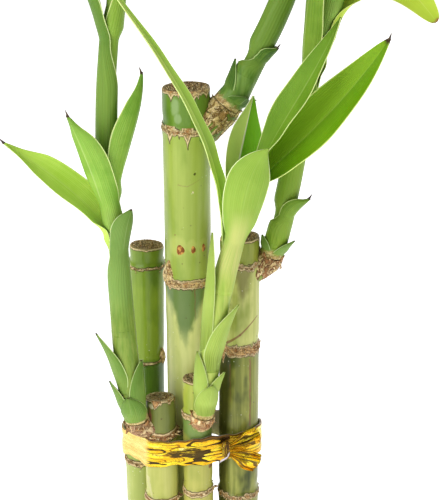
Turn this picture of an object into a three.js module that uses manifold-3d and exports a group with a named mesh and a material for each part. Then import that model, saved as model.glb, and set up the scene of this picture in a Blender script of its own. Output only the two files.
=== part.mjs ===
// Lucky bamboo: six cut canes stand in a bundle held by a foil tie, and four of them carry leafy shoots.
// Millimetres, +Z up. The origin is the centre of the tall cane's cut foot; +X is right, +Y is away.
import * as THREE from "three";
import { mergeVertices } from "three/addons/utils/BufferGeometryUtils.js";
import Module from "manifold-3d";

const wasm = await Module();
wasm.setup();

// Seams between touching pieces
const SEAM = 0.3;

// Canes: foot and top centres, radius at the foot and at the top, and the heights of the node rings.
// slope tilts the cut top: rise in z for each millimetre along x and along y.
const NODE_RIDGE = 0.45;
const NODE_HALF = 1.3;
const NODE_WAIST = 0.25;
const RIM = 0.7;
const CANES = {
  cane_tall: {
    foot: [0, 0], top: [-1.2, 0], height: 203, radii: [7.5, 8.4],
    nodes: [24, 79, 134.5, 189.5], slope: [0.03, 0.02], sides: 16,
  },
  cane_back_left: {
    foot: [-16.6, 12.0], top: [-15.9, 12.3], height: 142.5, radii: [5.9, 6.2],
    nodes: [31, 65.5, 100, 136], slope: [-0.02, 0.03], sides: 14,
  },
  cane_front_left: {
    foot: [-9.7, -12.4], top: [-10.8, -12.0], height: 93.4, radii: [6.7, 5.4],
    nodes: [22, 56, 81], slope: [0.02, -0.04], sides: 14,
  },
  cane_far_left: {
    foot: [-17.3, -0.4], top: [-18.4, -0.6], height: 84, radii: [5.9, 5.7],
    nodes: [17, 44, 66], slope: [0.03, 0.03], sides: 14,
  },
  cane_front: {
    foot: [3.4, -14.2], top: [2.2, -13.2], height: 101, radii: [5.8, 4.9],
    nodes: [28, 59.6, 88.5], slope: [-0.04, 0.03], sides: 14,
  },
  cane_right: {
    foot: [17.0, -7.2], top: [17.4, -7.2], height: 151.4, radii: [7.2, 7.0],
    nodes: [14, 56, 112, 143], slope: [0.05, 0.02], sides: 16,
  },
};

// Stubs that the shoots grow from: a boss bends out of a cane, from its root inside to the shoot's foot
const BOSSES = {
  cane_tall: { shoot: "tall", root: [2.5, -0.5, 187], radii: [6.8, 5.3] },
  cane_front_left: { shoot: "left", root: [-12.8, -13.2, 82.6], radii: [3.3, 4.2] },
  cane_front: { shoot: "front", root: [3.4, -15.5, 85.6], radii: [3.6, 4.0] },
  cane_right: { shoot: "right", root: [19.5, -7.2, 138], radii: [4.6, 4.2] },
};
const BOSS_SIDES = 12;
const BOSS_BEND = 4;
const BOSS_COLLAR = 0.35;

// Bud scars on the canes: a low pointed bump beside a node
const BUDS = {
  cane_tall: { at: [-7.2, -4.6, 137], size: [2.1, 1.2, 4.2] },
  cane_back_left: { at: [-10.6, 9.2, 101], size: [1.2, 1.2, 3.2] },
};

// Shoots: points on each centre line, bottom to top, and the girth at the foot and at the top, as a share
// of the common stem and sheath radii
const SHOOTS = {
  left: {
    girth: [1.02, 0.88],
    path: [
      [-18.9, -16.8, 86.6], [-20.0, -17.4, 92.2], [-21.0, -16.8, 98.4], [-22.7, -14.0, 112],
      [-24.4, -11.4, 132.9], [-25.9, -9.6, 154.2], [-28.0, -8.2, 175.1], [-27.8, -7.0, 199.5],
      [-26.6, -6.0, 216.8], [-25.0, -5.0, 233.7], [-23.4, -4.0, 250.3], [-22.0, -3.0, 266],
      [-20.8, -2.2, 284],
    ],
  },
  front: {
    girth: [0.92, 0.86],
    path: [
      [4.6, -21.8, 90.6], [5.2, -22.8, 95.4], [6.2, -23.0, 105.6], [8.8, -22.6, 125.8],
      [12.6, -22.0, 143.7], [16.4, -21.5, 158.6], [20.0, -21.0, 175.3], [22.6, -20.6, 189],
    ],
  },
  right: {
    girth: [0.98, 1],
    path: [
      [28.4, -7.1, 144.6], [30.2, -7.5, 150.9], [32.0, -8.0, 158.6], [34.4, -8.0, 170.1],
      [37.2, -8.0, 186], [40.4, -7.4, 199.7], [44.8, -6.6, 219], [48.6, -6.0, 236], [52.2, -5.4, 251],
      [55.4, -5, 264],
    ],
  },
  tall: {
    girth: [1.08, 0.97],
    path: [
      [12.9, -1.0, 196.9], [16.4, -1.2, 201.8], [20.2, -1.2, 209.4], [24.2, -1.0, 217.2],
      [28.3, -0.6, 225.4], [32.6, 0, 236], [36.4, 0.8, 248.6], [39.6, 1.6, 262], [41.8, 2.4, 276],
      [43.4, 3, 287], [44.6, 3.4, 300],
    ],
  },
};

// Leaf sheaths wrap the stem in two nested layers
const BLADE = 0.6;
const INNER_SHEATH = 2.2;
const OUTER_SHEATH = 3.7;
const CORE = 1.62;
const SEAT_GAP = 0.7;
const TUCK = 2;
const FLARE = 5;
const GAPE = 12;
const CORE_FROM = 3.2;
const SHEATH_SPREAD = 158;
const MOUTH_SPREAD = 95;
const FLATTEN = 10;
const DEPARTURE = 0.22;
const REACH = 0.55;
const BARE_STEM = 4.35;
const STEM_SIDES = 10;

// A bract's rows: how far along, how deep its inner face is sunk, its share of the lift, its thickness
// and its share of the half width
const BRACT_ROWS = [
  [0, 1.4, 0, 1.3, 0.6], [0.35, 1.1, 0.1, 1.4, 1], [0.55, 0, 0.35, 0.7, 0.9], [1, 0, 1, 0.5, 0.08],
];

// Stems: where the bare stem ends under the first sheath, and where the thin core ends.
// bracts: small pointed scales fused to the stem, with their side in degrees from +X towards +Y.
const STEMS = {
  left: {
    bareTo: 119, ends: 262, foot: 4.08,
    bracts: [
      { side: 262, from: 87.6, tip: 96.5, half: 6.2, lift: 0.9 },
      { side: 330, from: 89, tip: 108, half: 5.4, lift: 1.4 },
      { side: 190, from: 88.5, tip: 102, half: 5.0, lift: 2.2 },
      { side: 196, from: 97, tip: 119, half: 5.6, lift: 5.2 },
    ],
  },
  front: {
    bareTo: 138, ends: 180, foot: 4.0,
    bracts: [
      { side: 215, from: 93, tip: 115, half: 4.8, lift: 1.3 },
      { side: 290, from: 92.4, tip: 104, half: 5.4, lift: 1.2 },
      { side: 335, from: 97, tip: 108.5, half: 4.6, lift: 1.8 },
      { side: 340, from: 108, tip: 133.5, half: 7.0, lift: 2.9 },
      { side: 206, from: 112, tip: 156, half: 4.0, lift: 4.8 },
    ],
  },
  right: {
    bareTo: 150, ends: 244, foot: 4.2,
    bracts: [
      { side: 200, from: 145.6, tip: 151.5, half: 3.8, lift: 1.0 },
      { side: 330, from: 145.2, tip: 152.5, half: 4.4, lift: 2.2 },
    ],
  },
  tall: {
    bareTo: 207.5, ends: 276, foot: 4.9,
    bracts: [
      { side: 300, from: 198.2, tip: 202.4, half: 4.6, lift: 2.2 },
      { side: 340, from: 197.6, tip: 202.5, half: 4.4, lift: 2.4 },
      { side: 188, from: 198.2, tip: 210.5, half: 5.0, lift: 0.6 },
    ],
  },
};

// Leaves, outermost first. from and mouth are heights on the shoot; side is where the midrib lies;
// tip is the leaf's point; half is half the flat width; curl is half the blade's arc, in degrees;
// rise, reach and bow shape the arch, and towards is the point that it rises to; twist turns the blade
// about its midrib; open is half the mouth's arc, and the sheath opens to it over its gape; a leaf that
// is within stands inside the sheath before it; broad is where the blade is broadest, as a share of its
// length, and blunt is how round its point is.
const LEAVES = {
  left: [
    { name: "leaf_left_short", side: 305, from: 119.4, mouth: 147, gape: 14, tip: [-20.0, -15.8, 163.6],
      open: 74, half: 5.0, curl: 58, rise: 6, bow: 1, twist: 0 },
    { name: "leaf_left_low", side: 148, mouth: 153, tip: [-65.3, 2, 183], open: 90,
      half: 7.0, curl: 42, rise: 9, bow: 1, twist: -22 },
    { name: "leaf_left_front", side: 232, mouth: 163, tip: [-40.4, -21, 197.6],
      half: 7.4, curl: 55, rise: 10, bow: 2, twist: 0 },
    { name: "leaf_left_mid", side: 338, mouth: 171, tip: [-16.4, -8, 206.8],
      half: 8.0, curl: 58, rise: 9, bow: 2, twist: 0 },
    { name: "leaf_left_high", side: 186, mouth: 220, gape: 18, tip: [-47, -8, 264],
      open: 86, half: 5.2, curl: 68, rise: 12, bow: 2, twist: 0 },
    { name: "leaf_left_upper", side: 14, mouth: 242, gape: 22, tip: [-3, -1, 286],
      half: 7.2, curl: 48, rise: 12, bow: 4, twist: 10 },
    { name: "leaf_left_back", side: 120, mouth: 251, tip: [-41, 25, 298],
      half: 6.6, curl: 46, rise: 14, bow: 5, twist: 0 },
    { name: "leaf_left_crown", side: 268, mouth: 259, tip: [-19, -25, 305],
      half: 5.8, curl: 52, rise: 15, bow: 5, twist: 0 },
    { name: "leaf_left_spear", side: 60, mouth: 267, tip: [-16, 2, 318],
      half: 4.4, curl: 88, rise: 16, bow: 0, twist: 0 },
  ],
  front: [
    { name: "leaf_front_sheath", side: 279, from: 138.4, mouth: 154, gape: 15.6,
      tip: [25.8, -32.4, 188.1], open: 88, half: 8.8, broad: 0.6, curl: 38, rise: 9, bow: 2, twist: -4 },
    { name: "leaf_front_long", side: 136, from: 141.5, mouth: 146, within: true, tip: [-32, -20, 249],
      open: 24, half: 1.9, curl: 44, towards: [13.5, -18.5, 180], reach: 0.187, bow: 7, twist: 0 },
    { name: "leaf_front_back", side: 150, from: 150.5, mouth: 163, tip: [22.0, -6, 201.0], open: 74,
      half: 8.4, curl: 40, rise: 10, bow: 0, twist: -36 },
    { name: "leaf_front_large", side: 36, mouth: 172.5, tip: [66.7, -18.5, 223.1], open: 66,
      half: 9.6, curl: 34, rise: 6, bow: -9, twist: 14 },
    { name: "leaf_front_narrow", side: 20, mouth: 181, tip: [49.8, -24, 230.8], open: 62,
      half: 6.8, curl: 44, rise: 13, bow: -6, twist: 24 },
  ],
  right: [
    { name: "leaf_right_short", side: 322, from: 150.4, mouth: 160, gape: 5, tip: [41.2, -12.6, 166.6],
      half: 5.4, curl: 60, rise: 2.8, bow: 0, twist: 0, open: 78 },
    { name: "leaf_right_low", side: 205, mouth: 208, gape: 16, tip: [42, -30, 260], open: 84,
      half: 6.2, curl: 58, rise: 14, bow: 4, twist: 0 },
    { name: "leaf_right_back", side: 138, mouth: 217, tip: [52, 32, 265],
      half: 7.2, curl: 46, rise: 14, bow: 6, twist: 0 },
    { name: "leaf_right_hanging", side: 30, mouth: 226, tip: [83.3, -8, 226.6], reach: 0.27, blunt: 0.42,
      half: 8.8, curl: 24, rise: 24, bow: 7, twist: 42 },
    { name: "leaf_right_crown", side: 270, mouth: 235, tip: [60, -32, 286],
      half: 6.0, curl: 48, rise: 14, bow: 6, twist: 0 },
    { name: "leaf_right_spear", side: 190, mouth: 243, tip: [56, -4, 296],
      half: 4.6, curl: 86, rise: 16, bow: 0, twist: 0 },
  ],
  tall: [
    { name: "leaf_tall_short", side: 332, from: 208.2, mouth: 213.4, gape: 4, tip: [30.0, -5.4, 217.4],
      half: 5.0, curl: 56, rise: 3, bow: 0, twist: 0, open: 70 },
    { name: "leaf_tall_low", side: 318, mouth: 248, gape: 22, tip: [50, -28, 294], open: 82,
      half: 7.6, curl: 44, rise: 10, bow: 5, twist: 0 },
    { name: "leaf_tall_mid", side: 186, mouth: 256, tip: [12, -2, 302], open: 88,
      half: 7.2, curl: 46, rise: 14, bow: 5, twist: 0 },
    { name: "leaf_tall_back", side: 75, mouth: 264, tip: [47, 34, 309],
      half: 6.6, curl: 46, rise: 14, bow: 5, twist: 0 },
    { name: "leaf_tall_crown", side: 235, mouth: 271, tip: [25, -20, 315],
      half: 5.8, curl: 50, rise: 14, bow: 5, twist: 0 },
    { name: "leaf_tall_spear", side: 20, mouth: 278, tip: [48, 4, 325],
      half: 4.4, curl: 88, rise: 15, bow: 0, twist: 0 },
  ],
};
const BLADE_COLUMNS = 6;
const BLADE_STEPS = [0.09, 0.24, 0.42, 0.62, 0.82, 1];
const SHEATH_ROW = 11;
const ROW_CLEAR = 3;
const TIP_HALF = 0.3;
const POINT = 0.85;
const BROAD = 0.35;
const PATH_STEPS = 48;

// Foil tie: a crumpled strip round the bundle, twisted into a knot at the front right
const TIE = {
  middle: 75.0, lean: 0.08, width: 9.6, thick: 0.7, points: 36, crumple: 0.22, edge: 0.35,
};
const KNOT = { centre: [12.6, -19.4, 76.2], size: [2.4, 1.5, 3.2] };
const TIE_ENDS = [
  { root: [13.4, -19.4, 77.4], tip: [24.0, -17.2, 81.0], half: 3.0, wave: 0.5 },
  { root: [13.2, -19.6, 75.0], tip: [23.8, -18.6, 70.6], half: 4.0, wave: -0.5 },
];

const COLOURS = {
  cane_tall: 0x9db35c, cane_back_left: 0x6f9440, cane_front_left: 0xb4b46a, cane_far_left: 0xa6bd66,
  cane_front: 0xb5bd6c, cane_right: 0x8ea353, stem: 0x8fb35a, leaf: 0x76ad3a, foil: 0xd9a514,
};

const radians = THREE.MathUtils.degToRad;
const mix = THREE.MathUtils.lerp;
const vector = (point) => new THREE.Vector3(...point);
const smooth = (value) => THREE.MathUtils.smoothstep(value, 0, 1);

// Geometry from rings of points, each ring closed and all of one length. The ends are closed by strips.
// alike splits the second half of each ring's quads the other way, so that both faces of a blade match.
function loft(rings, alike = false) {
  const count = rings[0].length;
  const positions = rings.flat().flatMap((point) => [point.x, point.y, point.z]);
  const index = [];
  const quad = (a, b, c, d, flip) => {
    if (flip) {
      index.push(a, b, d, b, c, d);
    } else {
      index.push(a, b, c, a, c, d);
    }
  };
  for (let row = 0; row + 1 < rings.length; row += 1) {
    for (let i = 0; i < count; i += 1) {
      const next = (i + 1) % count;
      const low = row * count;
      const high = low + count;
      quad(low + i, low + next, high + next, high + i, alike && i >= count / 2);
    }
  }
  const last = (rings.length - 1) * count;
  for (let i = 0; i + 1 < count / 2; i += 1) {
    const back = count - 1 - i;
    quad(i + 1, i, back, back - 1, false);
    quad(last + i, last + i + 1, last + back - 1, last + back, false);
  }
  const geometry = new THREE.BufferGeometry();
  geometry.setAttribute("position", new THREE.Float32BufferAttribute(positions, 3));
  geometry.setIndex(index);
  return turnedOut(mergeVertices(geometry, 1e-5));
}

// Drops the triangles that merging has closed up, and turns the faces out
function turnedOut(geometry) {
  const position = geometry.getAttribute("position");
  const corner = [new THREE.Vector3(), new THREE.Vector3(), new THREE.Vector3()];
  const kept = [];
  let volume = 0;
  for (let i = 0; i < geometry.index.count; i += 3) {
    const ids = [0, 1, 2].map((k) => geometry.index.getX(i + k));
    if (new Set(ids).size === 3) {
      ids.forEach((id, k) => corner[k].fromBufferAttribute(position, id));
      volume += corner[0].dot(corner[1].clone().cross(corner[2]));
      kept.push(ids);
    }
  }
  const faces = volume < 0 ? kept.map(([a, b, c]) => [a, c, b]) : kept;
  geometry.setIndex(faces.flat());
  return geometry;
}

// Joins closed geometries into one
function fused(geometries) {
  const solids = geometries.map((geometry) => {
    const mesh = new wasm.Mesh({
      numProp: 3,
      vertProperties: new Float32Array(geometry.getAttribute("position").array),
      triVerts: new Uint32Array(geometry.index.array),
    });
    return new wasm.Manifold(mesh);
  });
  const whole = solids.reduce((joined, solid) => joined.add(solid));
  const { vertProperties, triVerts } = whole.getMesh();
  const geometry = new THREE.BufferGeometry();
  geometry.setAttribute("position", new THREE.Float32BufferAttribute(vertProperties, 3));
  geometry.setIndex(Array.from(triVerts));
  return outerShell(geometry);
}

// The largest closed shell of a geometry: a pocket that joining has sealed inside is filled
function outerShell(geometry) {
  const position = geometry.getAttribute("position");
  const owner = Array.from({ length: position.count }, (_, i) => i);
  const find = (i) => {
    let at = i;
    while (owner[at] !== at) {
      at = owner[at];
    }
    return at;
  };
  const triangles = [];
  for (let i = 0; i < geometry.index.count; i += 3) {
    const ids = [0, 1, 2].map((k) => geometry.index.getX(i + k));
    triangles.push(ids);
    owner[find(ids[1])] = find(ids[0]);
    owner[find(ids[2])] = find(ids[0]);
  }
  const corner = (id) => new THREE.Vector3().fromBufferAttribute(position, id);
  const volumes = new Map();
  triangles.forEach(([a, b, c]) => {
    const shell = find(a);
    const part = corner(a).dot(corner(b).cross(corner(c)));
    volumes.set(shell, (volumes.get(shell) ?? 0) + part);
  });
  const [largest] = [...volumes].reduce((best, entry) => (entry[1] > best[1] ? entry : best));
  geometry.setIndex(triangles.filter(([a]) => find(a) === largest).flat());
  geometry.deleteAttribute("normal");
  return mergeVertices(geometry, 1e-6);
}

// A ring of points round a centre, in the plane of two unit vectors
function ringAround(centre, across, up, radiusAt, sides) {
  return Array.from({ length: sides }, (_, i) => {
    const angle = (i / sides) * Math.PI * 2;
    const radius = radiusAt(angle);
    return centre.clone()
      .addScaledVector(across, radius * Math.cos(angle))
      .addScaledVector(up, radius * Math.sin(angle));
  });
}

function caneCentre(cane, z) {
  const t = z / cane.height;
  return new THREE.Vector3(mix(cane.foot[0], cane.top[0], t), mix(cane.foot[1], cane.top[1], t), z);
}

const caneRadius = (cane, z) => mix(cane.radii[0], cane.radii[1], z / cane.height);

// A cane's rows: its foot and top, and four at each node ring
function caneRows(cane) {
  const rows = [[0, -0.35], [1.2, 0]];
  for (const node of cane.nodes) {
    rows.push([node - 2 * NODE_HALF, 0]);
    rows.push([node, NODE_RIDGE]);
    rows.push([node + NODE_HALF, 0]);
    rows.push([node + 3 * NODE_HALF, -NODE_WAIST]);
  }
  rows.push([cane.height - RIM, 0], [cane.height, -0.3]);
  return rows;
}

function caneGeometry(name) {
  const cane = CANES[name];
  const across = new THREE.Vector3(1, 0, 0);
  const away = new THREE.Vector3(0, 1, 0);
  const rings = caneRows(cane).map(([z, relief]) => {
    const centre = caneCentre(cane, z);
    const tilt = z > cane.height - 2 * RIM ? 1 : 0;
    const ring = ringAround(centre, across, away, () => caneRadius(cane, z) + relief, cane.sides);
    ring.forEach((point) => {
      const rise = cane.slope[0] * (point.x - centre.x) + cane.slope[1] * (point.y - centre.y);
      point.z += tilt * rise;
    });
    return ring;
  });
  const pieces = [loft(rings)];
  if (BOSSES[name]) {
    pieces.push(bossGeometry(BOSSES[name]));
  }
  if (BUDS[name]) {
    pieces.push(budGeometry(BUDS[name]));
  }
  return pieces.length > 1 ? fused(pieces) : pieces[0];
}

// Two unit vectors across a direction, the first as near to +X as it can be
function acrossOf(along) {
  const first = new THREE.Vector3(1, 0, 0).addScaledVector(along, -along.x).normalize();
  return [first, along.clone().cross(first)];
}

// The boss curves into line with its shoot and ends in a slight collar just under the shoot's foot
function bossGeometry({ shoot, root, radii }) {
  const { centre, along } = shootFrame(SHOOTS[shoot], SHOOTS[shoot].path[0][2]);
  const end = centre.clone().addScaledVector(along, -SEAM);
  const bend = end.clone().addScaledVector(along, -BOSS_BEND);
  const curve = new THREE.QuadraticBezierCurve3(vector(root), bend, end);
  const rows = [[0, 0], [0.45, 0], [0.75, BOSS_COLLAR], [0.9, BOSS_COLLAR], [1, 0]];
  return loft(rows.map(([t, extra]) => {
    const radius = mix(radii[0], radii[1], t) + extra;
    const [first, second] = acrossOf(curve.getTangent(t));
    return ringAround(curve.getPoint(t), first, second, () => radius, BOSS_SIDES);
  }));
}

// A bud scar is a squashed ball drawn up to a point
function budGeometry({ at, size }) {
  const bud = new THREE.SphereGeometry(1, 8, 6);
  bud.rotateX(Math.PI / 2);
  bud.deleteAttribute("normal");
  bud.deleteAttribute("uv");
  const position = bud.getAttribute("position");
  for (let i = 0; i < position.count; i += 1) {
    const z = position.getZ(i);
    const slim = z > 0 ? 1 - 0.45 * z : 1;
    position.setXYZ(
      i,
      at[0] + size[0] * slim * position.getX(i),
      at[1] + size[1] * slim * position.getY(i),
      at[2] + size[2] * z,
    );
  }
  return turnedOut(mergeVertices(bud, 1e-5));
}

// A point on a shoot's centre line at height z: a cubic through its points
function shootPoint(path, z) {
  const last = path.length - 1;
  let k = 0;
  while (k < last - 1 && z > path[k + 1][2]) {
    k += 1;
  }
  const slope = (i, axis) => {
    const a = path[Math.max(0, i - 1)];
    const b = path[Math.min(last, i + 1)];
    return (b[axis] - a[axis]) / (b[2] - a[2]);
  };
  const step = path[k + 1][2] - path[k][2];
  const t = (z - path[k][2]) / step;
  const cubic = (axis) => {
    const start = (1 + 2 * t) * (1 - t) ** 2 * path[k][axis];
    const finish = t * t * (3 - 2 * t) * path[k + 1][axis];
    const leaving = t * (1 - t) ** 2 * step * slope(k, axis);
    const arriving = t * t * (t - 1) * step * slope(k + 1, axis);
    return start + finish + leaving + arriving;
  };
  return new THREE.Vector3(cubic(0), cubic(1), z);
}

function shootFrame({ path, girth }, z) {
  const along = shootPoint(path, z + 0.5).sub(shootPoint(path, z - 0.5)).normalize();
  const [first, second] = acrossOf(along);
  const share = (z - path[0][2]) / (path[path.length - 1][2] - path[0][2]);
  return { centre: shootPoint(path, z), along, first, second, girth: mix(...girth, share) };
}

// The direction out of a shoot on a given side
function outward(frame, side) {
  return frame.first.clone().multiplyScalar(Math.cos(side)).addScaledVector(frame.second, Math.sin(side));
}

// A leaf's cross-section is an arc about its midrib, thickened outwards
function arcRing({ rib, inward, across, radius, spread, columns, thick = BLADE }) {
  const face = (depth) => Array.from({ length: columns + 1 }, (_, i) => {
    const angle = mix(-spread, spread, i / columns);
    return rib.clone()
      .addScaledVector(inward, radius - (radius + depth) * Math.cos(angle))
      .addScaledVector(across, (radius + depth) * Math.sin(angle));
  });
  return [...face(0), ...face(thick).reverse()];
}

// The sheath's inner radius: inside the leaf below at first, then flared past its mouth
function sheathRadius(z, mouthBelow) {
  if (mouthBelow === undefined) {
    return OUTER_SHEATH;
  }
  return mix(INNER_SHEATH, OUTER_SHEATH, smooth((z - mouthBelow) / FLARE));
}

const gapeOf = (leaf) => Math.min(leaf.gape ?? GAPE, leaf.mouth - leaf.from);

function sheathSection(shoot, leaf, z, mouthBelow) {
  const frame = shootFrame(shoot, z);
  const out = outward(frame, radians(leaf.side));
  const radius = sheathRadius(z, leaf.within ? Infinity : mouthBelow) * frame.girth;
  const inward = out.clone().negate();
  const shut = smooth(1 - (leaf.mouth - z) / gapeOf(leaf));
  const wrap = leaf.within ? MOUTH_SPREAD : SHEATH_SPREAD;
  return {
    rib: frame.centre.clone().addScaledVector(out, radius),
    inward,
    across: frame.along.clone().cross(inward),
    along: frame.along,
    radius,
    spread: radians(mix(wrap, leaf.open ?? MOUTH_SPREAD, shut)),
  };
}

// The blade's half width along its length: a slight neck, the broadest part near the middle, a long point
function bladeHalf(leaf, start, t) {
  const broad = leaf.broad ?? BROAD;
  const neck = mix(start, leaf.half, smooth(t / broad));
  const past = Math.max(0, (t - broad - 0.05) / (0.95 - broad));
  const point = Math.max(0, Math.cos(past * Math.PI / 2)) ** (leaf.blunt ?? POINT);
  return Math.max(TIP_HALF, neck * point);
}

// The blade's sections: its midrib is a cubic curve from the mouth to the tip, with an untwisted frame
function bladeSections(leaf, mouth, steps) {
  const out = mouth.inward.clone().negate();
  const start = mouth.rib;
  const tip = vector(leaf.tip);
  const first = leaf.towards ? vector(leaf.towards) : start.clone()
    .addScaledVector(mouth.along, leaf.rise)
    .addScaledVector(out, leaf.rise * DEPARTURE);
  const second = first.clone().lerp(tip, leaf.reach ?? REACH);
  second.z += leaf.bow;
  const curve = new THREE.CubicBezierCurve3(start, first, second, tip);
  const inward = mouth.inward.clone();
  const frames = Array.from({ length: PATH_STEPS + 1 }, (_, i) => {
    const along = curve.getTangent(i / PATH_STEPS);
    inward.addScaledVector(along, -inward.dot(along)).normalize();
    return { along, inward: inward.clone() };
  });
  const startHalf = mouth.radius * mouth.spread;
  const length = curve.getLength();
  return steps.map((t) => {
    const { along, inward: flat } = frames[Math.round(t * PATH_STEPS)];
    const turned = flat.clone().applyAxisAngle(along, radians(leaf.twist) * smooth(t * 1.4));
    const half = bladeHalf(leaf, startHalf, t);
    const spread = mix(mouth.spread, radians(leaf.curl), smooth((t * length) / FLATTEN));
    return {
      rib: curve.getPoint(t),
      inward: turned,
      across: along.clone().cross(turned),
      radius: half / spread,
      spread,
    };
  });
}

// The heights of a sheath's rows: its foot, its flare past the mouth below, its gape, and between them
// levels that all sheaths share
function sheathHeights(leaf, mouthBelow) {
  const own = [leaf.from, leaf.mouth - gapeOf(leaf), leaf.mouth - gapeOf(leaf) / 2, leaf.mouth];
  if (mouthBelow !== undefined && !leaf.within) {
    own.push(mouthBelow, mouthBelow + 0.4 * FLARE, mouthBelow + FLARE);
  }
  for (let z = Math.ceil(leaf.from / SHEATH_ROW) * SHEATH_ROW; z < leaf.mouth; z += SHEATH_ROW) {
    if (own.every((other) => Math.abs(other - z) > ROW_CLEAR)) {
      own.push(z);
    }
  }
  const ends = [leaf.from, leaf.mouth];
  const inner = own.filter((z) => ends.every((end) => Math.abs(end - z) > 0.8));
  return [...ends, ...inner].sort((a, b) => a - b).filter((z, i, all) => i === 0 || z - all[i - 1] > 0.8);
}

function leafGeometry(shoot, leaf, mouthBelow) {
  const sheath = sheathHeights(leaf, mouthBelow).map((z) => sheathSection(shoot, leaf, z, mouthBelow));
  const blade = bladeSections(leaf, sheath[sheath.length - 1], BLADE_STEPS);
  const rings = [...sheath, ...blade].map((section) => arcRing({ ...section, columns: BLADE_COLUMNS }));
  return loft(rings, true);
}

// A bract: a short pointed scale whose foot is sunk in the stem
function bractGeometry(shoot, bract) {
  const rings = BRACT_ROWS.map(([t, sunk, lift, thick, width]) => {
    const z = mix(bract.from, bract.tip, t);
    const frame = shootFrame(shoot, z);
    const foot = BARE_STEM * frame.girth;
    const out = outward(frame, radians(bract.side));
    const reach = foot - sunk + lift * bract.lift;
    const inward = out.clone().negate();
    return arcRing({
      rib: frame.centre.clone().addScaledVector(out, reach),
      inward,
      across: frame.along.clone().cross(inward),
      radius: foot,
      spread: (bract.half * width) / foot,
      columns: 2,
      thick,
    });
  });
  return loft(rings, true);
}

function stemGeometry(name) {
  const shoot = SHOOTS[name];
  const stem = STEMS[name];
  const begin = shoot.path[0][2];
  const seat = OUTER_SHEATH - SEAT_GAP;
  const rows = [
    [begin, stem.foot], [begin + 3, stem.foot], [mix(begin, stem.bareTo, 0.6), BARE_STEM],
    [stem.bareTo, BARE_STEM - 0.1], [stem.bareTo + 0.1, seat], [stem.bareTo + 1.2, seat],
    [stem.bareTo + CORE_FROM, CORE],
  ];
  const spans = Math.ceil((stem.ends - stem.bareTo - CORE_FROM) / 14);
  for (let i = 1; i <= spans; i += 1) {
    rows.push([mix(stem.bareTo + CORE_FROM, stem.ends, i / spans), i === spans ? CORE * 0.6 : CORE]);
  }
  const rings = rows.map(([z, radius]) => {
    const { centre, first, second, girth } = shootFrame(shoot, z);
    return ringAround(centre, first, second, () => radius * girth, STEM_SIDES);
  });
  return fused([loft(rings), ...stem.bracts.map((bract) => bractGeometry(shoot, bract))]);
}

// The strip of foil follows the outermost canes: at each bearing it touches the cane that reaches furthest
function tieGeometry() {
  const canes = Object.values(CANES);
  const rings = [];
  for (let k = 0; k < TIE.points; k += 1) {
    const angle = (k / TIE.points) * Math.PI * 2;
    const normal = new THREE.Vector3(Math.cos(angle), Math.sin(angle), 0);
    const reach = (cane) => caneCentre(cane, TIE.middle).dot(normal) + caneRadius(cane, TIE.middle);
    const cane = canes.reduce((best, other) => (reach(other) > reach(best) ? other : best));
    const centre = caneCentre(cane, TIE.middle);
    const clear = SEAM + 0.1;
    const inner = centre.addScaledVector(normal, caneRadius(cane, TIE.middle) + clear);
    inner.z = TIE.middle + TIE.lean * inner.x;
    const fold = TIE.crumple * Math.sin(5 * k) + TIE.crumple;
    const corner = (out, up) => {
      const lift = up * TIE.width / 2 + TIE.edge * Math.sin(3 * k + up);
      return inner.clone().addScaledVector(normal, out).add(new THREE.Vector3(0, 0, lift));
    };
    rings.push([
      corner(0, -1), corner(0, 1), corner(TIE.thick, 1),
      corner(TIE.thick + fold, 0.35), corner(TIE.thick + 0.2, -0.3), corner(TIE.thick, -1),
    ]);
  }
  return closedBand(rings);
}

// A band: the rings follow each other round and the last joins the first
function closedBand(rings) {
  const count = rings[0].length;
  const index = [];
  rings.forEach((_, row) => {
    const low = row * count;
    const high = ((row + 1) % rings.length) * count;
    for (let i = 0; i < count; i += 1) {
      const next = (i + 1) % count;
      index.push(low + i, low + next, high + next, low + i, high + next, high + i);
    }
  });
  const positions = rings.flat().flatMap((point) => [point.x, point.y, point.z]);
  const geometry = new THREE.BufferGeometry();
  geometry.setAttribute("position", new THREE.Float32BufferAttribute(positions, 3));
  geometry.setIndex(index);
  return turnedOut(geometry);
}

// The knot is a small ball of foil with two waved ends spreading to the right
function knotGeometry() {
  const ball = new THREE.SphereGeometry(1, 10, 8);
  ball.scale(...KNOT.size);
  ball.translate(...KNOT.centre);
  ball.deleteAttribute("normal");
  ball.deleteAttribute("uv");
  const ends = TIE_ENDS.map(({ root, tip, half, wave }) => {
    const start = vector(root);
    const finish = vector(tip);
    const along = finish.clone().sub(start).normalize();
    const face = new THREE.Vector3(0, -1, 0);
    const across = along.clone().cross(face).normalize();
    const rings = [0, 0.25, 0.5, 0.75, 1].map((t) => {
      const middle = start.clone().lerp(finish, t);
      const reach = mix(1.0, half, smooth(t * 1.3));
      const edge = (out) => [-1, -0.5, 0, 0.5, 1].map((s, i) => middle.clone()
        .addScaledVector(across, reach * s)
        .addScaledVector(face, out + wave * t * (i % 2 === 0 ? 1 : -1)));
      return [...edge(0), ...edge(TIE.thick).reverse()];
    });
    return loft(rings, true);
  });
  return fused([turnedOut(mergeVertices(ball, 1e-5)), ...ends]);
}

function add(group, name, geometry, color, roughness, metalness = 0) {
  geometry.computeVertexNormals();
  const material = new THREE.MeshStandardMaterial({ color, roughness, metalness });
  const mesh = new THREE.Mesh(geometry, material);
  mesh.name = name;
  group.add(mesh);
}

function canes() {
  const group = new THREE.Group();
  Object.keys(CANES).forEach((name) => add(group, name, caneGeometry(name), COLOURS[name], 0.4));
  return group;
}

// A sheath's foot shows through the gape of the sheath below, but stays above the flare of that one
function sheathFoot(below, floor) {
  const shown = below.mouth - gapeOf(below) - TUCK;
  return Math.min(Math.max(shown, floor), below.mouth - TUCK);
}

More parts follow.
